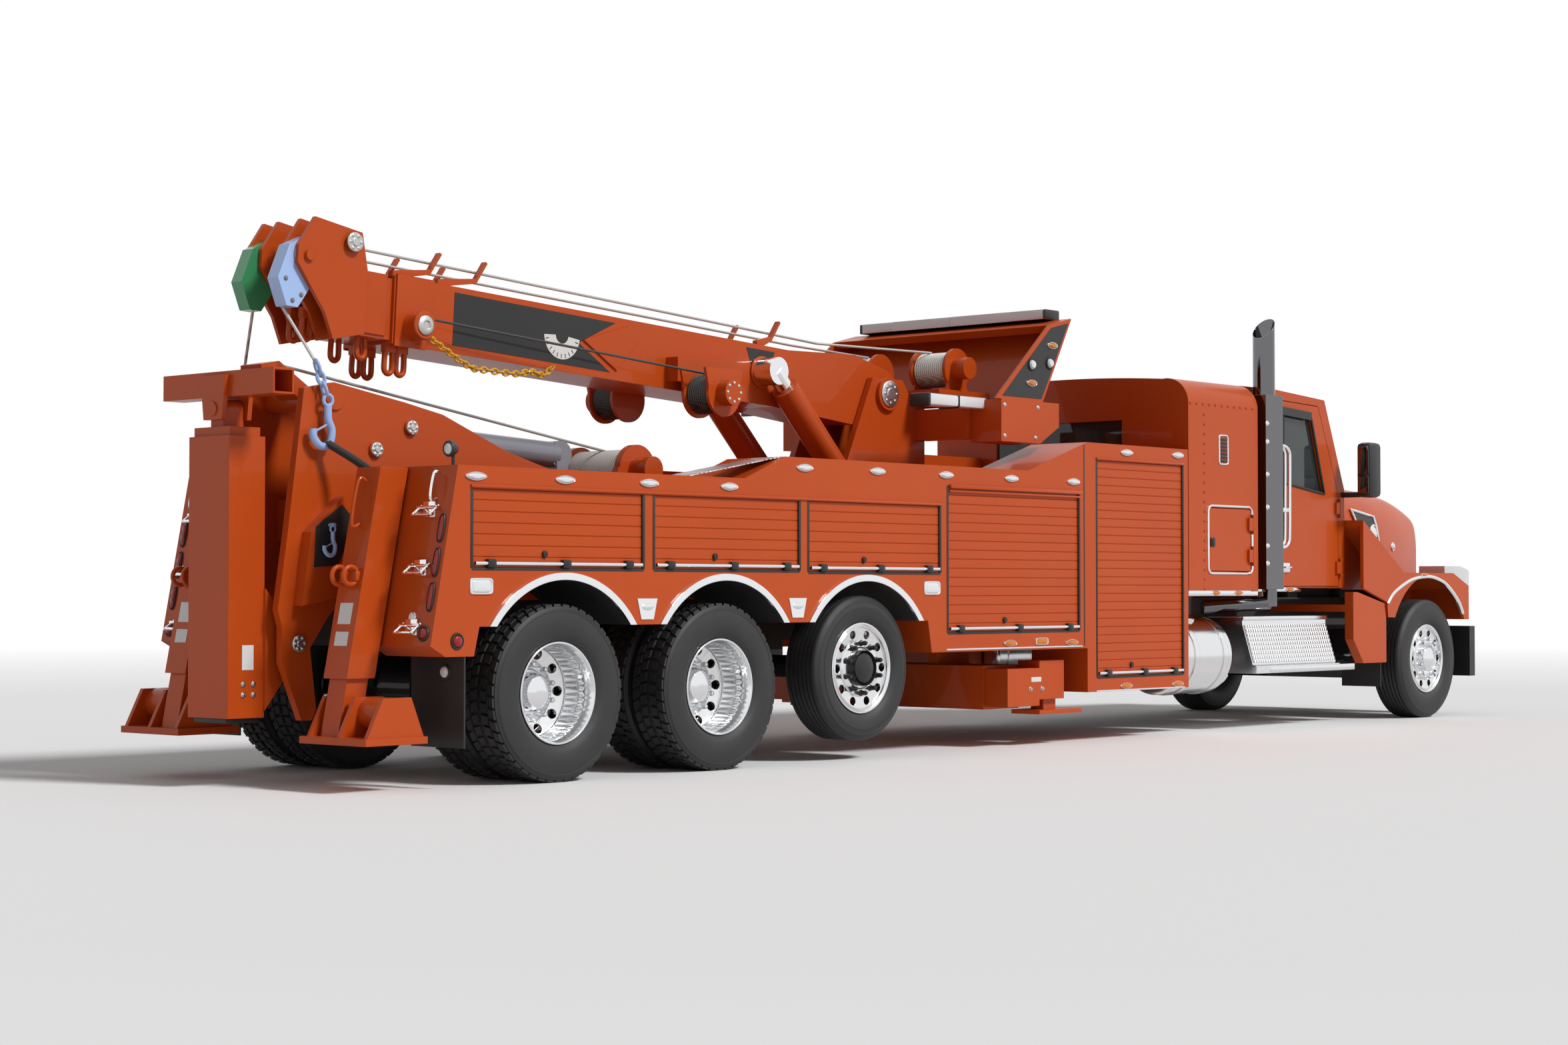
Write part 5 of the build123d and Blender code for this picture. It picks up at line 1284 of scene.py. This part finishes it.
slack = Shape()
points = [at(x, -TUBE_Y - 0.030, z) for x, z in CHAIN_LINE]
points = [boom(4.37, -TUBE_Y - 0.100, -0.150)] + points + [boom(3.25, -TUBE_Y - 0.010, -0.195)]
chain(slack, along(smooth(points, 3), 0.042), 0.007, 0.056)
slack.done("boom_chain", YELLOW_PAINT, "boom_outer")
eyes, snatch = Shape(), Shape()
for side, hand in SIDES:
    eyes.turned(boom(EYE_U, side * TUBE_Y, EYE_V), (0, side, 0), EYE_BOSS, sides=32)
    snatch.oval(boom(EYE_U, side * (TUBE_Y + 0.119), EYE_V), (0, side, 0), (0.060, 0.060), EYE_CAP, sides=24)
eyes.done("boom_eyes", ORANGE, "boom_outer")
snatch.done("boom_eye_caps", STEEL, "boom_outer")
print("boom eyes: 2, chain points:", len(points))

# %% [markdown]
# ## Head pins and turret pins
# Pins end in turned caps with a ring of bolts, which is how a pivot is kept and greased. The caps are the
# same turned form at several sizes. Each sheave block shows the hub of its sheave and three bolts.

# %% Pin caps
PYLON_Y = 1.033
PYLON_BOLTS = ((4.53, 2.43), (4.93, 2.43), (4.53, 2.21), (4.90, 2.21))
BLOCK_HUB = [(0.085, -0.002), (0.085, 0.006), (0.078, 0.010), (0.050, 0.010), (0.046, 0.018), (0.024, 0.018)]
BLOCK_BOLTS = ((5.290, -0.060), (5.345, 0.060), (5.230, -0.020))

inner_caps, turret_caps, hubs = Shape(), Shape(), Shape()
for side, hand in SIDES:
    out = (0, side, 0)
    cap(inner_caps, boom(5.210, side * 0.198, 0.215), side, 0.030, 4)
    cap(inner_caps, boom(4.905, side * (BOOM_SIDE + 0.004), 0.330), side, 0.058)
    heel_y = abs(skin_at("turret", HEEL_X, HEEL_Z, side)[0].y)
    cap(turret_caps, at(HEEL_X, side * heel_y, HEEL_Z), side, 0.095, 8)
    turret_caps.bolts([at(x, side * PYLON_Y, z) for x, z in PYLON_BOLTS], out, 0.014)
    cheek = boom(5.270, 0, 0.150)
    y = skin_at("sheave_blocks", cheek.x - REAR_AXLE_X, cheek.z, side)[0].y
    hubs.turned(boom(5.214, y, 0.210), out, BLOCK_HUB, sides=32)
    hubs.bolts([boom(u, y, v) for u, v in BLOCK_BOLTS], out)
hubs.done("block_hubs", GREY_PAINT, "boom_inner")
inner_caps.done("head_caps", STEEL, "boom_inner")
turret_caps.done("turret_caps", STEEL, "turret")
print("pin caps fitted: 6")

# %% [markdown]
# ## Lamps on the pylon
# The pylon's sides are black panels with working lamps, so the operator sees the load at night. Its crown is
# a long clear beacon with dark ends, and each arm carries a strobe bar. The bars are clear mouldings over the
# solids: rounded shells with dark ends and dividers.

# %% Pylon
PYLON_PANEL = ((5.310, 3.070), (5.095, 3.020), (4.500, 2.495), (4.975, 2.495))
PANEL_THICK = 0.003
AMBER_SPOTS, WORK_SPOTS = ((5.104, 2.892), (4.848, 2.603)), ((4.854, 2.737), (5.073, 2.761))
BEACON = (5.226, 5.404)

lamps = Lamps("turret")
black, bars, ends, domes = Shape(), Shape(), Shape(), Shape()
for side, hand in SIDES:
    out = (0, side, 0)
    black.sheet(side, PYLON_Y, PYLON_PANEL, PANEL_THICK)
    for x, z in AMBER_SPOTS:
        lamps.add(at(x, side * (PYLON_Y + PANEL_THICK), z), out, (0.062, 0.026), LENS_AMBER, 1.8)
    for x, z in WORK_SPOTS:
        lamps.add(at(x, side * (PYLON_Y + PANEL_THICK), z), out, (0.048, 0.048), LENS_CLEAR, 2.0, 0.020, True)
    bars.slab(side, (3.860, 4.520), (0.716, 0.884), (2.405, 2.486), 0.016)
    for x in (3.846, 4.180, 4.508):
        ends.slab(side, (x, x + 0.026), (0.712, 0.888), (2.395, 2.490), 0.010)
    ends.slab(side, BEACON, (0.860, 0.892), (3.106, 3.181), 0.012)
    domes.slab(side, BEACON, (0.550, 0.865), (3.108, 3.182), 0.010)
    bars.slab(side, BEACON, (-0.004, 0.556), (3.108, 3.181), 0.003)
black.done("pylon_panels", BLACK_PAINT, "turret")
bars.done("pylon_bars", LENS_CLEAR, "turret")
ends.done("pylon_ends", PLASTIC, "turret")
domes.done("pylon_domes", LENS_CLEAR, "turret")
lamps.done("pylon_lamps")
print("pylon lamps:", 2 * (len(AMBER_SPOTS) + len(WORK_SPOTS)))

# %% [markdown]
# ## Sleeper
# The sleeper is riveted sheet. It shows a column of rivets, a small louvred vent, and a luggage hatch in a
# bright rounded frame with a black latch. The latch rides on the hatch, and the frame stays on the wall. A
# bright strip with amber lamps edges the foot of the sleeper and the cab.

# %% Sleeper trim
SLEEPER_Y = 1.220
RIVETS_UP, RIVETS_ALONG = 19, 11
SLATS, SLAT_STEP = 7, 0.028
LATCH_KNOB = [(1, 0, 0), (1, 0, 0.004), (0.6, 0, 0.006), (0, 0, 0.006)]
FOOT_STRIPS = (  # stations, reach, heights, lamps' stations and height
    ((6.630, 7.640), (1.180, 1.219), (1.066, 1.110), (7.011, 7.342), 1.088),
    ((7.650, 8.563), (1.030, 1.068), (1.098, 1.134), (8.085, 8.372), 1.116),
)


def rounded(first, last, low, high, corner, y):
    """Points round a rectangle with round corners, on a side wall."""
    loop = []
    for x, z, start in ((last - corner, high - corner, 0), (first + corner, high - corner, 90),
                        (first + corner, low + corner, 180), (last - corner, low + corner, 270)):
        loop += arc(at(x, y, z), ALONG, UP, corner, start, start + 90, 5)
    return loop


rivets, frames, vents, strips = Shape(), Shape(), Shape(), Shape()
lamps = Lamps("chassis")
for side, hand in SIDES:
    out = (0, side, 0)
    y = side * (SLEEPER_Y + 0.001)
    heads = [at(6.855, y, 1.118 + 0.075 * k) for k in range(RIVETS_UP)]
    heads += [at(6.66 + 0.09 * k, y, 2.548) for k in range(RIVETS_ALONG)]
    rivets.bolts(heads, out, 0.007, 0.005)
    frame_y = side * (SLEEPER_Y + 0.002)
    frames.tube(rounded(6.902, 7.546, 1.243, 1.766, 0.05, frame_y), 0.011, 8, True)
    frames.tube(rounded(7.067, 7.190, 2.095, 2.318, 0.02, frame_y), 0.008, 8, True)
    for k in range(SLATS):
        rise = SLAT_STEP * k
        vents.slab(side, (7.075, 7.182), (SLEEPER_Y - 0.004, SLEEPER_Y + 0.008),
                   (2.110 + rise, 2.128 + rise), 0.003)
    for stations, reach, heights, spots, z in FOOT_STRIPS:
        strips.slab(side, stations, reach, heights, 0.005)
        for station in spots:
            lamps.add(at(station, side * reach[1], z), out, (0.062, 0.020), LENS_AMBER, EYE, 0.010)
    latch = Shape()
    latch.slab(side, (6.934, 6.994), (SLEEPER_Y - 0.004, SLEEPER_Y + 0.012), (1.448, 1.518), 0.008)
    latch.oval(at(6.964, side * (SLEEPER_Y + 0.012), 1.483), out, (0.020, 0.026), LATCH_KNOB, sides=20)
    latch.done(f"hatch_latch_{hand}", PLASTIC, f"hatch_{hand}")
rivets.done("sleeper_rivets", ORANGE, "chassis")
frames.done("sleeper_frames", CHROME, "chassis")
vents.done("sleeper_vents", PLASTIC, "chassis")
strips.done("sleeper_strips", CHROME, "chassis")
lamps.done("sleeper_lamps")
print("sleeper trimmed:", 2 * (RIVETS_UP + RIVETS_ALONG), "rivets")

# %% [markdown]
# ## Doors
# A black rubber seal runs round each window and a dark strip above it sheds the rain. Below the window sits
# a pull handle. All three ride on the door, so they swing with it.

# %% Door trim
WINDOW = ((8.300, 1.990), (8.955, 1.915), (8.745, 2.540), (8.300, 2.570))
RAIN_STRIP = ((8.262, 2.545), (8.722, 2.520), (8.722, 2.585), (8.262, 2.610))
GRIP = ((8.285, 0.006), (8.290, 0.034), (8.330, 0.040), (8.370, 0.034), (8.375, 0.006))

for side, hand in SIDES:
    face = abs(skin_at(f"door_{hand}", 8.60, 1.60, side)[0].y)
    seal, shade, pull = Shape(), Shape(), Shape()
    ring = along([at(x, side * (face + 0.002), z) for x, z in WINDOW + WINDOW[:1]], 0.08)
    seal.tube(ring[:-1], 0.011, 8, True)
    seal.done(f"window_seal_{hand}", RUBBER, f"door_{hand}")
    shade.sheet(side, face + 0.003, RAIN_STRIP, 0.020)
    shade.done(f"rain_strip_{hand}", PLASTIC, f"door_{hand}")
    pull.slab(side, (8.270, 8.390), (face, face + 0.010), (1.255, 1.335), 0.006)
    pull.tube(smooth([at(x, side * (face + rise), 1.297) for x, rise in GRIP], 4), 0.009, 8)
    pull.done(f"door_pull_{hand}", CHROME, f"door_{hand}")
print("doors trimmed: 2")

# %% [markdown]
# ## Mirrors and visor
# A mirror head is a rounded moulding on a short arm, with two panes in its back. The rounded form takes the
# place of the plain solid. A bright visor shades the windscreen: one sheet bent twice, on three brackets.

# %% Mirrors and visor
VISOR = ((8.930, 2.716), (9.060, 2.706), (9.150, 2.670), (9.192, 2.604), (9.186, 2.602), (9.142, 2.660),
         (9.056, 2.696), (8.930, 2.706))
VISOR_HALF = 0.950

mirror, mirror_glass, visor = Shape(), Shape(), Shape()
for side, hand in SIDES:
    mirror.slab(side, (9.200, 9.400), (1.220, 1.360), (1.890, 2.350), 0.038)
    mirror.tube([at(9.255, side * y, 1.915) for y in (1.060, 1.140, 1.235)], 0.024, 12)
    for pane in ((1.925, 2.060), (2.085, 2.315)):
        mirror_glass.slab(side, (9.197, 9.203), (1.240, 1.340), pane, 0.002)
mirror.done("mirror_shells", PLASTIC, "chassis", "mirrors")
# The mirror panes wear chrome with a painted dark reflection in its colour.
mirror_glass.done("mirror_glass", PAINTED_DARK_REFLECTION_CHROME, "chassis")
visor.sheet(1, -VISOR_HALF, VISOR, 2 * VISOR_HALF)
for y in (-0.60, 0.0, 0.60):
    visor.block((8.900, y - 0.012, 2.660), (9.060, y + 0.012, 2.700), 0.003)
visor.done("sun_visor", CHROME, "chassis")
print("mirrors and visor fitted")

# %% [markdown]
# ## Stack guard and grab rail
# The stack stands behind a polished guard held by domed bolts. A double rail beside it helps the driver up:
# two bent tubes joined by a bracket.

# %% Stack and rails
STACK_FACE = skin_at("exhaust_stack", 7.830, 1.80, -1)[0].y
STACK_BOLTS = (1.324, 1.464, 1.772, 2.034, 2.294, 2.440)
RAIL_ROUTE = ((7.822, 2.282), (7.960, 2.268), (8.020, 2.228), (8.030, 2.150), (8.026, 1.850), (8.022, 1.575),
              (8.010, 1.500), (7.950, 1.458), (7.815, 1.444))

rail, studs = Shape(), Shape()
studs.bolts([at(7.715, STACK_FACE, z) for z in STACK_BOLTS], (0, -1, 0), 0.018, 0.014)
for shift in (0.0, 0.055):
    rail.tube(smooth([at(x + shift, -1.235 - shift * 0.2, z) for x, z in RAIL_ROUTE]), 0.014, 10)
rail.block((7.815, -1.250, 1.738), (8.070, -1.222, 1.774), 0.006)
rail.done("grab_rail", CHROME, "chassis")
studs.done("stack_bolts", CHROME, "chassis")
print("stack and rail fitted:", len(STACK_BOLTS), "bolts")

# %% [markdown]
# ## Hood
# The real hood is one moulding: flat sides, round shoulders and a crowned top that narrow towards the nose.
# The solid below it is a plain hollow box, so the moulding is skinned over it through a few sections, each
# a side, a shoulder and a crown. Six rows of sizes give the whole form, and a soft line joins them.

# %% Hood skin
HOOD_ROWS = (
    # station, half width, shoulder height, half width of the top, height of the top's edge, crown
    (9.300, 1.010, 1.660, 0.800, 2.015, 2.050),
    (9.700, 0.985, 1.630, 0.755, 1.990, 2.022),
    (10.090, 0.950, 1.600, 0.715, 1.967, 1.992),
    (10.640, 0.850, 1.560, 0.695, 1.906, 1.928),
    (11.130, 0.735, 1.480, 0.690, 1.748, 1.768),
    (11.194, 0.715, 1.430, 0.688, 1.604, 1.618),
)
HOOD_FOOT = 1.115
SHOULDER_STEPS, CROWN_STEPS = 9, 6


def hood_ring(station, half, shoulder, top_half, top, crown):
    """One section of the hood, from its right foot over the crown to its left foot."""
    half_line = [(half, HOOD_FOOT), (half, (HOOD_FOOT + shoulder) / 2), (half, shoulder)]
    for k in range(1, SHOULDER_STEPS):
        turn = math.pi / 2 * k / SHOULDER_STEPS
        half_line.append((top_half + (half - top_half) * math.cos(turn),
                          shoulder + (top - shoulder) * math.sin(turn)))
    half_line.append((top_half, top))
    for k in range(1, CROWN_STEPS + 1):
        inward = 1 - k / CROWN_STEPS
        half_line.append((top_half * inward, top + (crown - top) * (1 - inward ** 2)))
    outline = [(-y, z) for y, z in half_line] + half_line[-2::-1]
    return [at(station, y, z) for y, z in outline]


hood_skin = Shape()
sections = smooth([Vector(row) for row in HOOD_ROWS], 5)
hood_skin.net([hood_ring(*row) for row in sections])
bmesh.ops.triangulate(hood_skin.mesh, faces=hood_skin.mesh.faces)
hood_tree = BVHTree.FromBMesh(hood_skin.mesh)
hood_skin.done("hood_skin", ORANGE, "hood")
print("hood skinned over", len(HOOD_ROWS), "sections")

# %% [markdown]
# ## Hood trim
# The hood breathes through a black mesh panel on each side in a bright frame with a plain round cap. Its
# outline is laid on the curved skin point by point: a ray finds the skin at each place. The fender's edge
# wears a rolled bright lip.

# %% Intakes, lamps and lips
INTAKE = ((9.525, 1.798), (9.959, 1.745), (10.038, 1.517), (9.672, 1.535))
INTAKE_ROWS, INTAKE_COLUMNS, INTAKE_LIFT = 6, 10, 0.014
ROUND_CAP = [(0.072, -0.004), (0.072, 0.016), (0.058, 0.024), (0.052, 0.016), (0.034, 0.026), (0, 0.030)]
LIP = ((9.712, 0.995), (9.821, 1.085), (10.030, 1.170), (10.210, 1.213), (10.457, 1.230), (10.660, 1.200),
       (10.808, 1.145), (10.990, 1.020), (11.080, 0.905))
FENDER_Y = 1.228


def on_hood(x, z, side, lift=0.0):
    """A point of the hood's skin, raised a little, and the way it faces."""
    point, normal, _, _ = hood_tree.ray_cast(at(x, side * BESIDE_ALL, z), Vector((0, -side, 0)))
    normal = normal if normal.y * side > 0 else -normal
    return point + normal * lift, normal


def intake_rows(side):
    """Rows of points over the intake, from its head to its foot."""
    rows = []
    for j in range(INTAKE_ROWS + 1):
        first, last = [Vector(INTAKE[head]).lerp(Vector(INTAKE[foot]), j / INTAKE_ROWS)
                       for head, foot in ((0, 3), (1, 2))]
        rows.append([on_hood(*first.lerp(last, k / INTAKE_COLUMNS), side, INTAKE_LIFT)[0]
                     for k in range(INTAKE_COLUMNS + 1)])
    return rows


mesh_panel, hood_chrome = Shape(), Shape()
lamps = Lamps("hood")
for side, hand in SIDES:
    rows = intake_rows(side)
    mesh_panel.net(rows)
    edge = rows[0] + [row[-1] for row in rows[1:-1]] + rows[-1][::-1] + [row[0] for row in rows[-2:0:-1]]
    hood_chrome.tube(edge, 0.013, 8, True)
    hood_chrome.turned(*on_hood(9.925, 1.610, side), ROUND_CAP, sides=32)
    lamps.add(*on_hood(10.433, 1.494, side), (0.040, 0.040), LENS_CLEAR)
    lamps.add(*skin_at("hood", 10.360, 1.245, side), (0.055, 0.014), LENS_AMBER)
    hood_chrome.tube(smooth([at(x, side * FENDER_Y, z) for x, z in LIP]), 0.018, 10)
mesh_panel.done("hood_mesh", MESH, "hood")
hood_chrome.done("hood_trim", CHROME, "hood")
lamps.done("hood_lamps")
print("hood trimmed: 2 intakes, 2 lips")

# %% [markdown]
# ## Grille and head lamps
# The nose carries a dark mesh behind bright bars in a surround of round bar. Each head lamp shows two round
# lenses in bright rings. All are laid on the front faces of the solids.

# %% Nose
GRILLE_HALF, GRILLE_LOW, GRILLE_HIGH = 0.52, 0.92, 1.52
GRILLE_BARS, BAR_HALF = 9, 0.009
BEAM_Y, BEAM_Z, BEAM_R = (0.930, 1.085), 1.200, 0.062
BEAM_RING = [(BEAM_R, -0.002), (BEAM_R, 0.008), (BEAM_R * 0.9, 0.012), (BEAM_R * 0.8, 0.006)]
BEAM_LENS = [(BEAM_R * 0.82, 0.002), (BEAM_R * 0.6, 0.012), (0, 0.016)]


def ahead(node, y, z):
    """The foremost station of a solid at a distance from the middle and a height."""
    hit, point, _, _ = nodes[node].ray_cast(at(14.0, y, z), -ALONG)
    assert hit, (node, y, z)
    return point.x - REAR_AXLE_X


front = ahead("head_lamps", 0.0, BEAM_Z)
dark, bright, beams = Shape(), Shape(), Shape()
dark.block((front, -GRILLE_HALF, GRILLE_LOW), (front + 0.004, GRILLE_HALF, GRILLE_HIGH), 0.001)
corners = [(-GRILLE_HALF, GRILLE_LOW), (GRILLE_HALF, GRILLE_LOW),
           (GRILLE_HALF, GRILLE_HIGH), (-GRILLE_HALF, GRILLE_HIGH)]
ring = along([at(front + 0.008, y, z) for y, z in corners + corners[:1]], 0.06)
bright.tube(ring[:-1], 0.022, 10, True)
for k in range(GRILLE_BARS):
    z = GRILLE_LOW + (k + 1) * (GRILLE_HIGH - GRILLE_LOW) / (GRILLE_BARS + 1)
    bright.block((front + 0.002, -GRILLE_HALF, z - BAR_HALF),
                 (front + 0.018, GRILLE_HALF, z + BAR_HALF), 0.004)
for side, hand in SIDES:
    for y in BEAM_Y:
        centre = at(ahead("head_lamps", side * y, BEAM_Z), side * y, BEAM_Z)
        bright.turned(centre, ALONG, BEAM_RING, sides=32)
        beams.turned(centre, ALONG, BEAM_LENS, sides=32)
dark.done("grille_mesh", MESH, "hood")
bright.done("grille_bars", CHROME, "hood")
beams.done("lamp_beams", LENS_CLEAR, "hood")
print("nose fitted:", GRILLE_BARS, "bars,", 2 * len(BEAM_Y), "lenses")

# %% [markdown]
# ## Steps and tanks
# The step box is faced with tread plate: raised bars in two directions, made by two waves in the bump and
# laid as a thin plate on the slope. The tanks get domed ends and a filler cap, since a real tank is spun,
# not cut off.

# %% Steps and tanks
SLOPE = ((7.575, 1.1235, 0.835), (8.845, 1.1235, 0.835), (8.845, 1.2125, 0.535), (7.575, 1.2125, 0.535))
TANK_ENDS = ((6.650, -1), (7.290, 1))
TANK_DOME = [(0.299, -0.001), (0.292, 0.014), (0.272, 0.026), (0.200, 0.036), (0, 0.040)]
FILLER = [(0.055, -0.02), (0.055, 0.020), (0.048, 0.026), (0, 0.028)]

treads, boards, tanks = Shape(), Shape(), Shape()
for side, hand in SIDES:
    treads.plate([at(x, side * y, z) for x, y, z in SLOPE], Vector((0, side * 0.006, 0.002)))
    boards.slab(side, (7.555, 8.865), (0.800, 1.128), (0.893, 0.902), 0.003)
    boards.slab(side, (7.555, 8.865), (1.118, 1.134), (0.868, 0.902), 0.004)
    boards.slab(side, (7.770, 9.105), (1.235, 1.256), (0.452, 0.502), 0.006)
    for x, way in TANK_ENDS:
        tanks.turned(at(x, side * 0.890, 0.600), (way, 0, 0), TANK_DOME, sides=48)
    tanks.turned(at(6.960, side * 0.990, 0.880), (0, side * 0.35, 1), FILLER, sides=28)
treads.done("step_treads", TREAD, "chassis")
boards.done("step_boards", ALUMINIUM, "chassis")
tanks.done("tank_ends", ALUMINIUM, "chassis")
print("steps and tanks trimmed:", 2 * len(TANK_ENDS), "tank ends")

# %% [markdown]
# ## The studio
# A pale floor that fades out with distance, a broad soft sun over the near side, and a white room that
# metal and glass can mirror. The floor is stage, not part of the truck.

# %% Stage and light
FLOOR_R = 60.0
FADE_START, FADE_END = 12.0, 34.0
FILL = 0.26
KEY_STRENGTH, KEY_ANGLE, KEY_FROM = 2.5, 12, (0.20, -0.80, 0.80)


def make_floor():
    """A round floor that turns see-through with distance."""
    bpy.ops.mesh.primitive_circle_add(vertices=96, radius=FLOOR_R, fill_type="NGON")
    floor = bpy.context.object
    floor.name = "floor"
    finish = Finish("floor", Base_Color=(0.86, 0.86, 0.86), Roughness=0.9)
    distance = finish.node("VectorMath", {"operation": "LENGTH"}, {0: finish.place()}, output=1)
    fade = finish.node("MapRange", inputs={
        "Value": distance, "From Min": FADE_START, "From Max": FADE_END})
    nothing = finish.node("BsdfTransparent")
    body = Value(finish.shader.outputs[0])
    shown = finish.node("MixShader", inputs={0: fade, 1: body, 2: nothing})
    output = finish.tree.nodes["Material Output"]
    finish.tree.links.new(shown.socket, output.inputs["Surface"])
    floor.data.materials.append(finish.material)
    floor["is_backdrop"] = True


def make_room():
    """A white surround: full for what is seen or mirrored, and a soft fill for the rest."""
    world = bpy.data.worlds.new("room")
    bpy.context.scene.world = world
    world.use_nodes = True
    tree = world.node_tree
    back = tree.nodes["Background"]
    back.inputs["Color"].default_value = (1, 1, 1, 1)
    path = tree.nodes.new("ShaderNodeLightPath")
    seen = Value(path.outputs["Is Camera Ray"]) + Value(path.outputs["Is Glossy Ray"])
    seen = seen + Value(path.outputs["Is Transmission Ray"])
    seen = seen.math("MINIMUM", seen, 1.0)
    strength = seen * (1.0 - FILL) + FILL
    tree.links.new(strength.socket, back.inputs["Strength"])


def make_sun(name, strength, angle, source):
    """A sun that shines from a direction; a wide angle softens its shadows."""
    data = bpy.data.lights.new(name, "SUN")
    data.energy = strength
    data.angle = math.radians(angle)
    lamp = bpy.data.objects.new(name, data)
    lamp.rotation_euler = (-Vector(source)).to_track_quat("-Z", "Y").to_euler()
    bpy.context.collection.objects.link(lamp)


make_floor()
make_room()
make_sun("key", KEY_STRENGTH, KEY_ANGLE, KEY_FROM)
bpy.context.scene.view_settings.view_transform = "Standard"
print("studio lit: floor", FLOOR_R, "m, key sun", KEY_STRENGTH, "and fill", FILL)

# %% [markdown]
# ## The camera
# Its place and lens were worked out from the wheels, whose sizes and spacing are known: it stands 1.1 m
# above the ground, off the truck's rear right corner, and looks slightly up.

# %% Camera
CAMERA_AT = (-10.5742, -12.2543, 1.1059)
CAMERA_YAW, CAMERA_PITCH = 41.399, 1.483
LENS_MM = 60.566

camera_data = bpy.data.cameras.new("camera")
camera_data.sensor_width = 36
camera_data.sensor_fit = "HORIZONTAL"
camera_data.lens = LENS_MM
camera_data.clip_end = 200
camera = bpy.data.objects.new("camera", camera_data)
camera.location = at(*CAMERA_AT)
camera.rotation_euler = (math.radians(90 + CAMERA_PITCH), 0, math.radians(CAMERA_YAW - 90))
bpy.context.collection.objects.link(camera)
bpy.context.scene.camera = camera
print("camera at", [round(c, 2) for c in camera.location], "with a lens of", LENS_MM, "mm")

# %% Finish
low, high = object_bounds()
{"cad": [list(cad_low), list(cad_high)], "visual": [list(low), list(high)]}
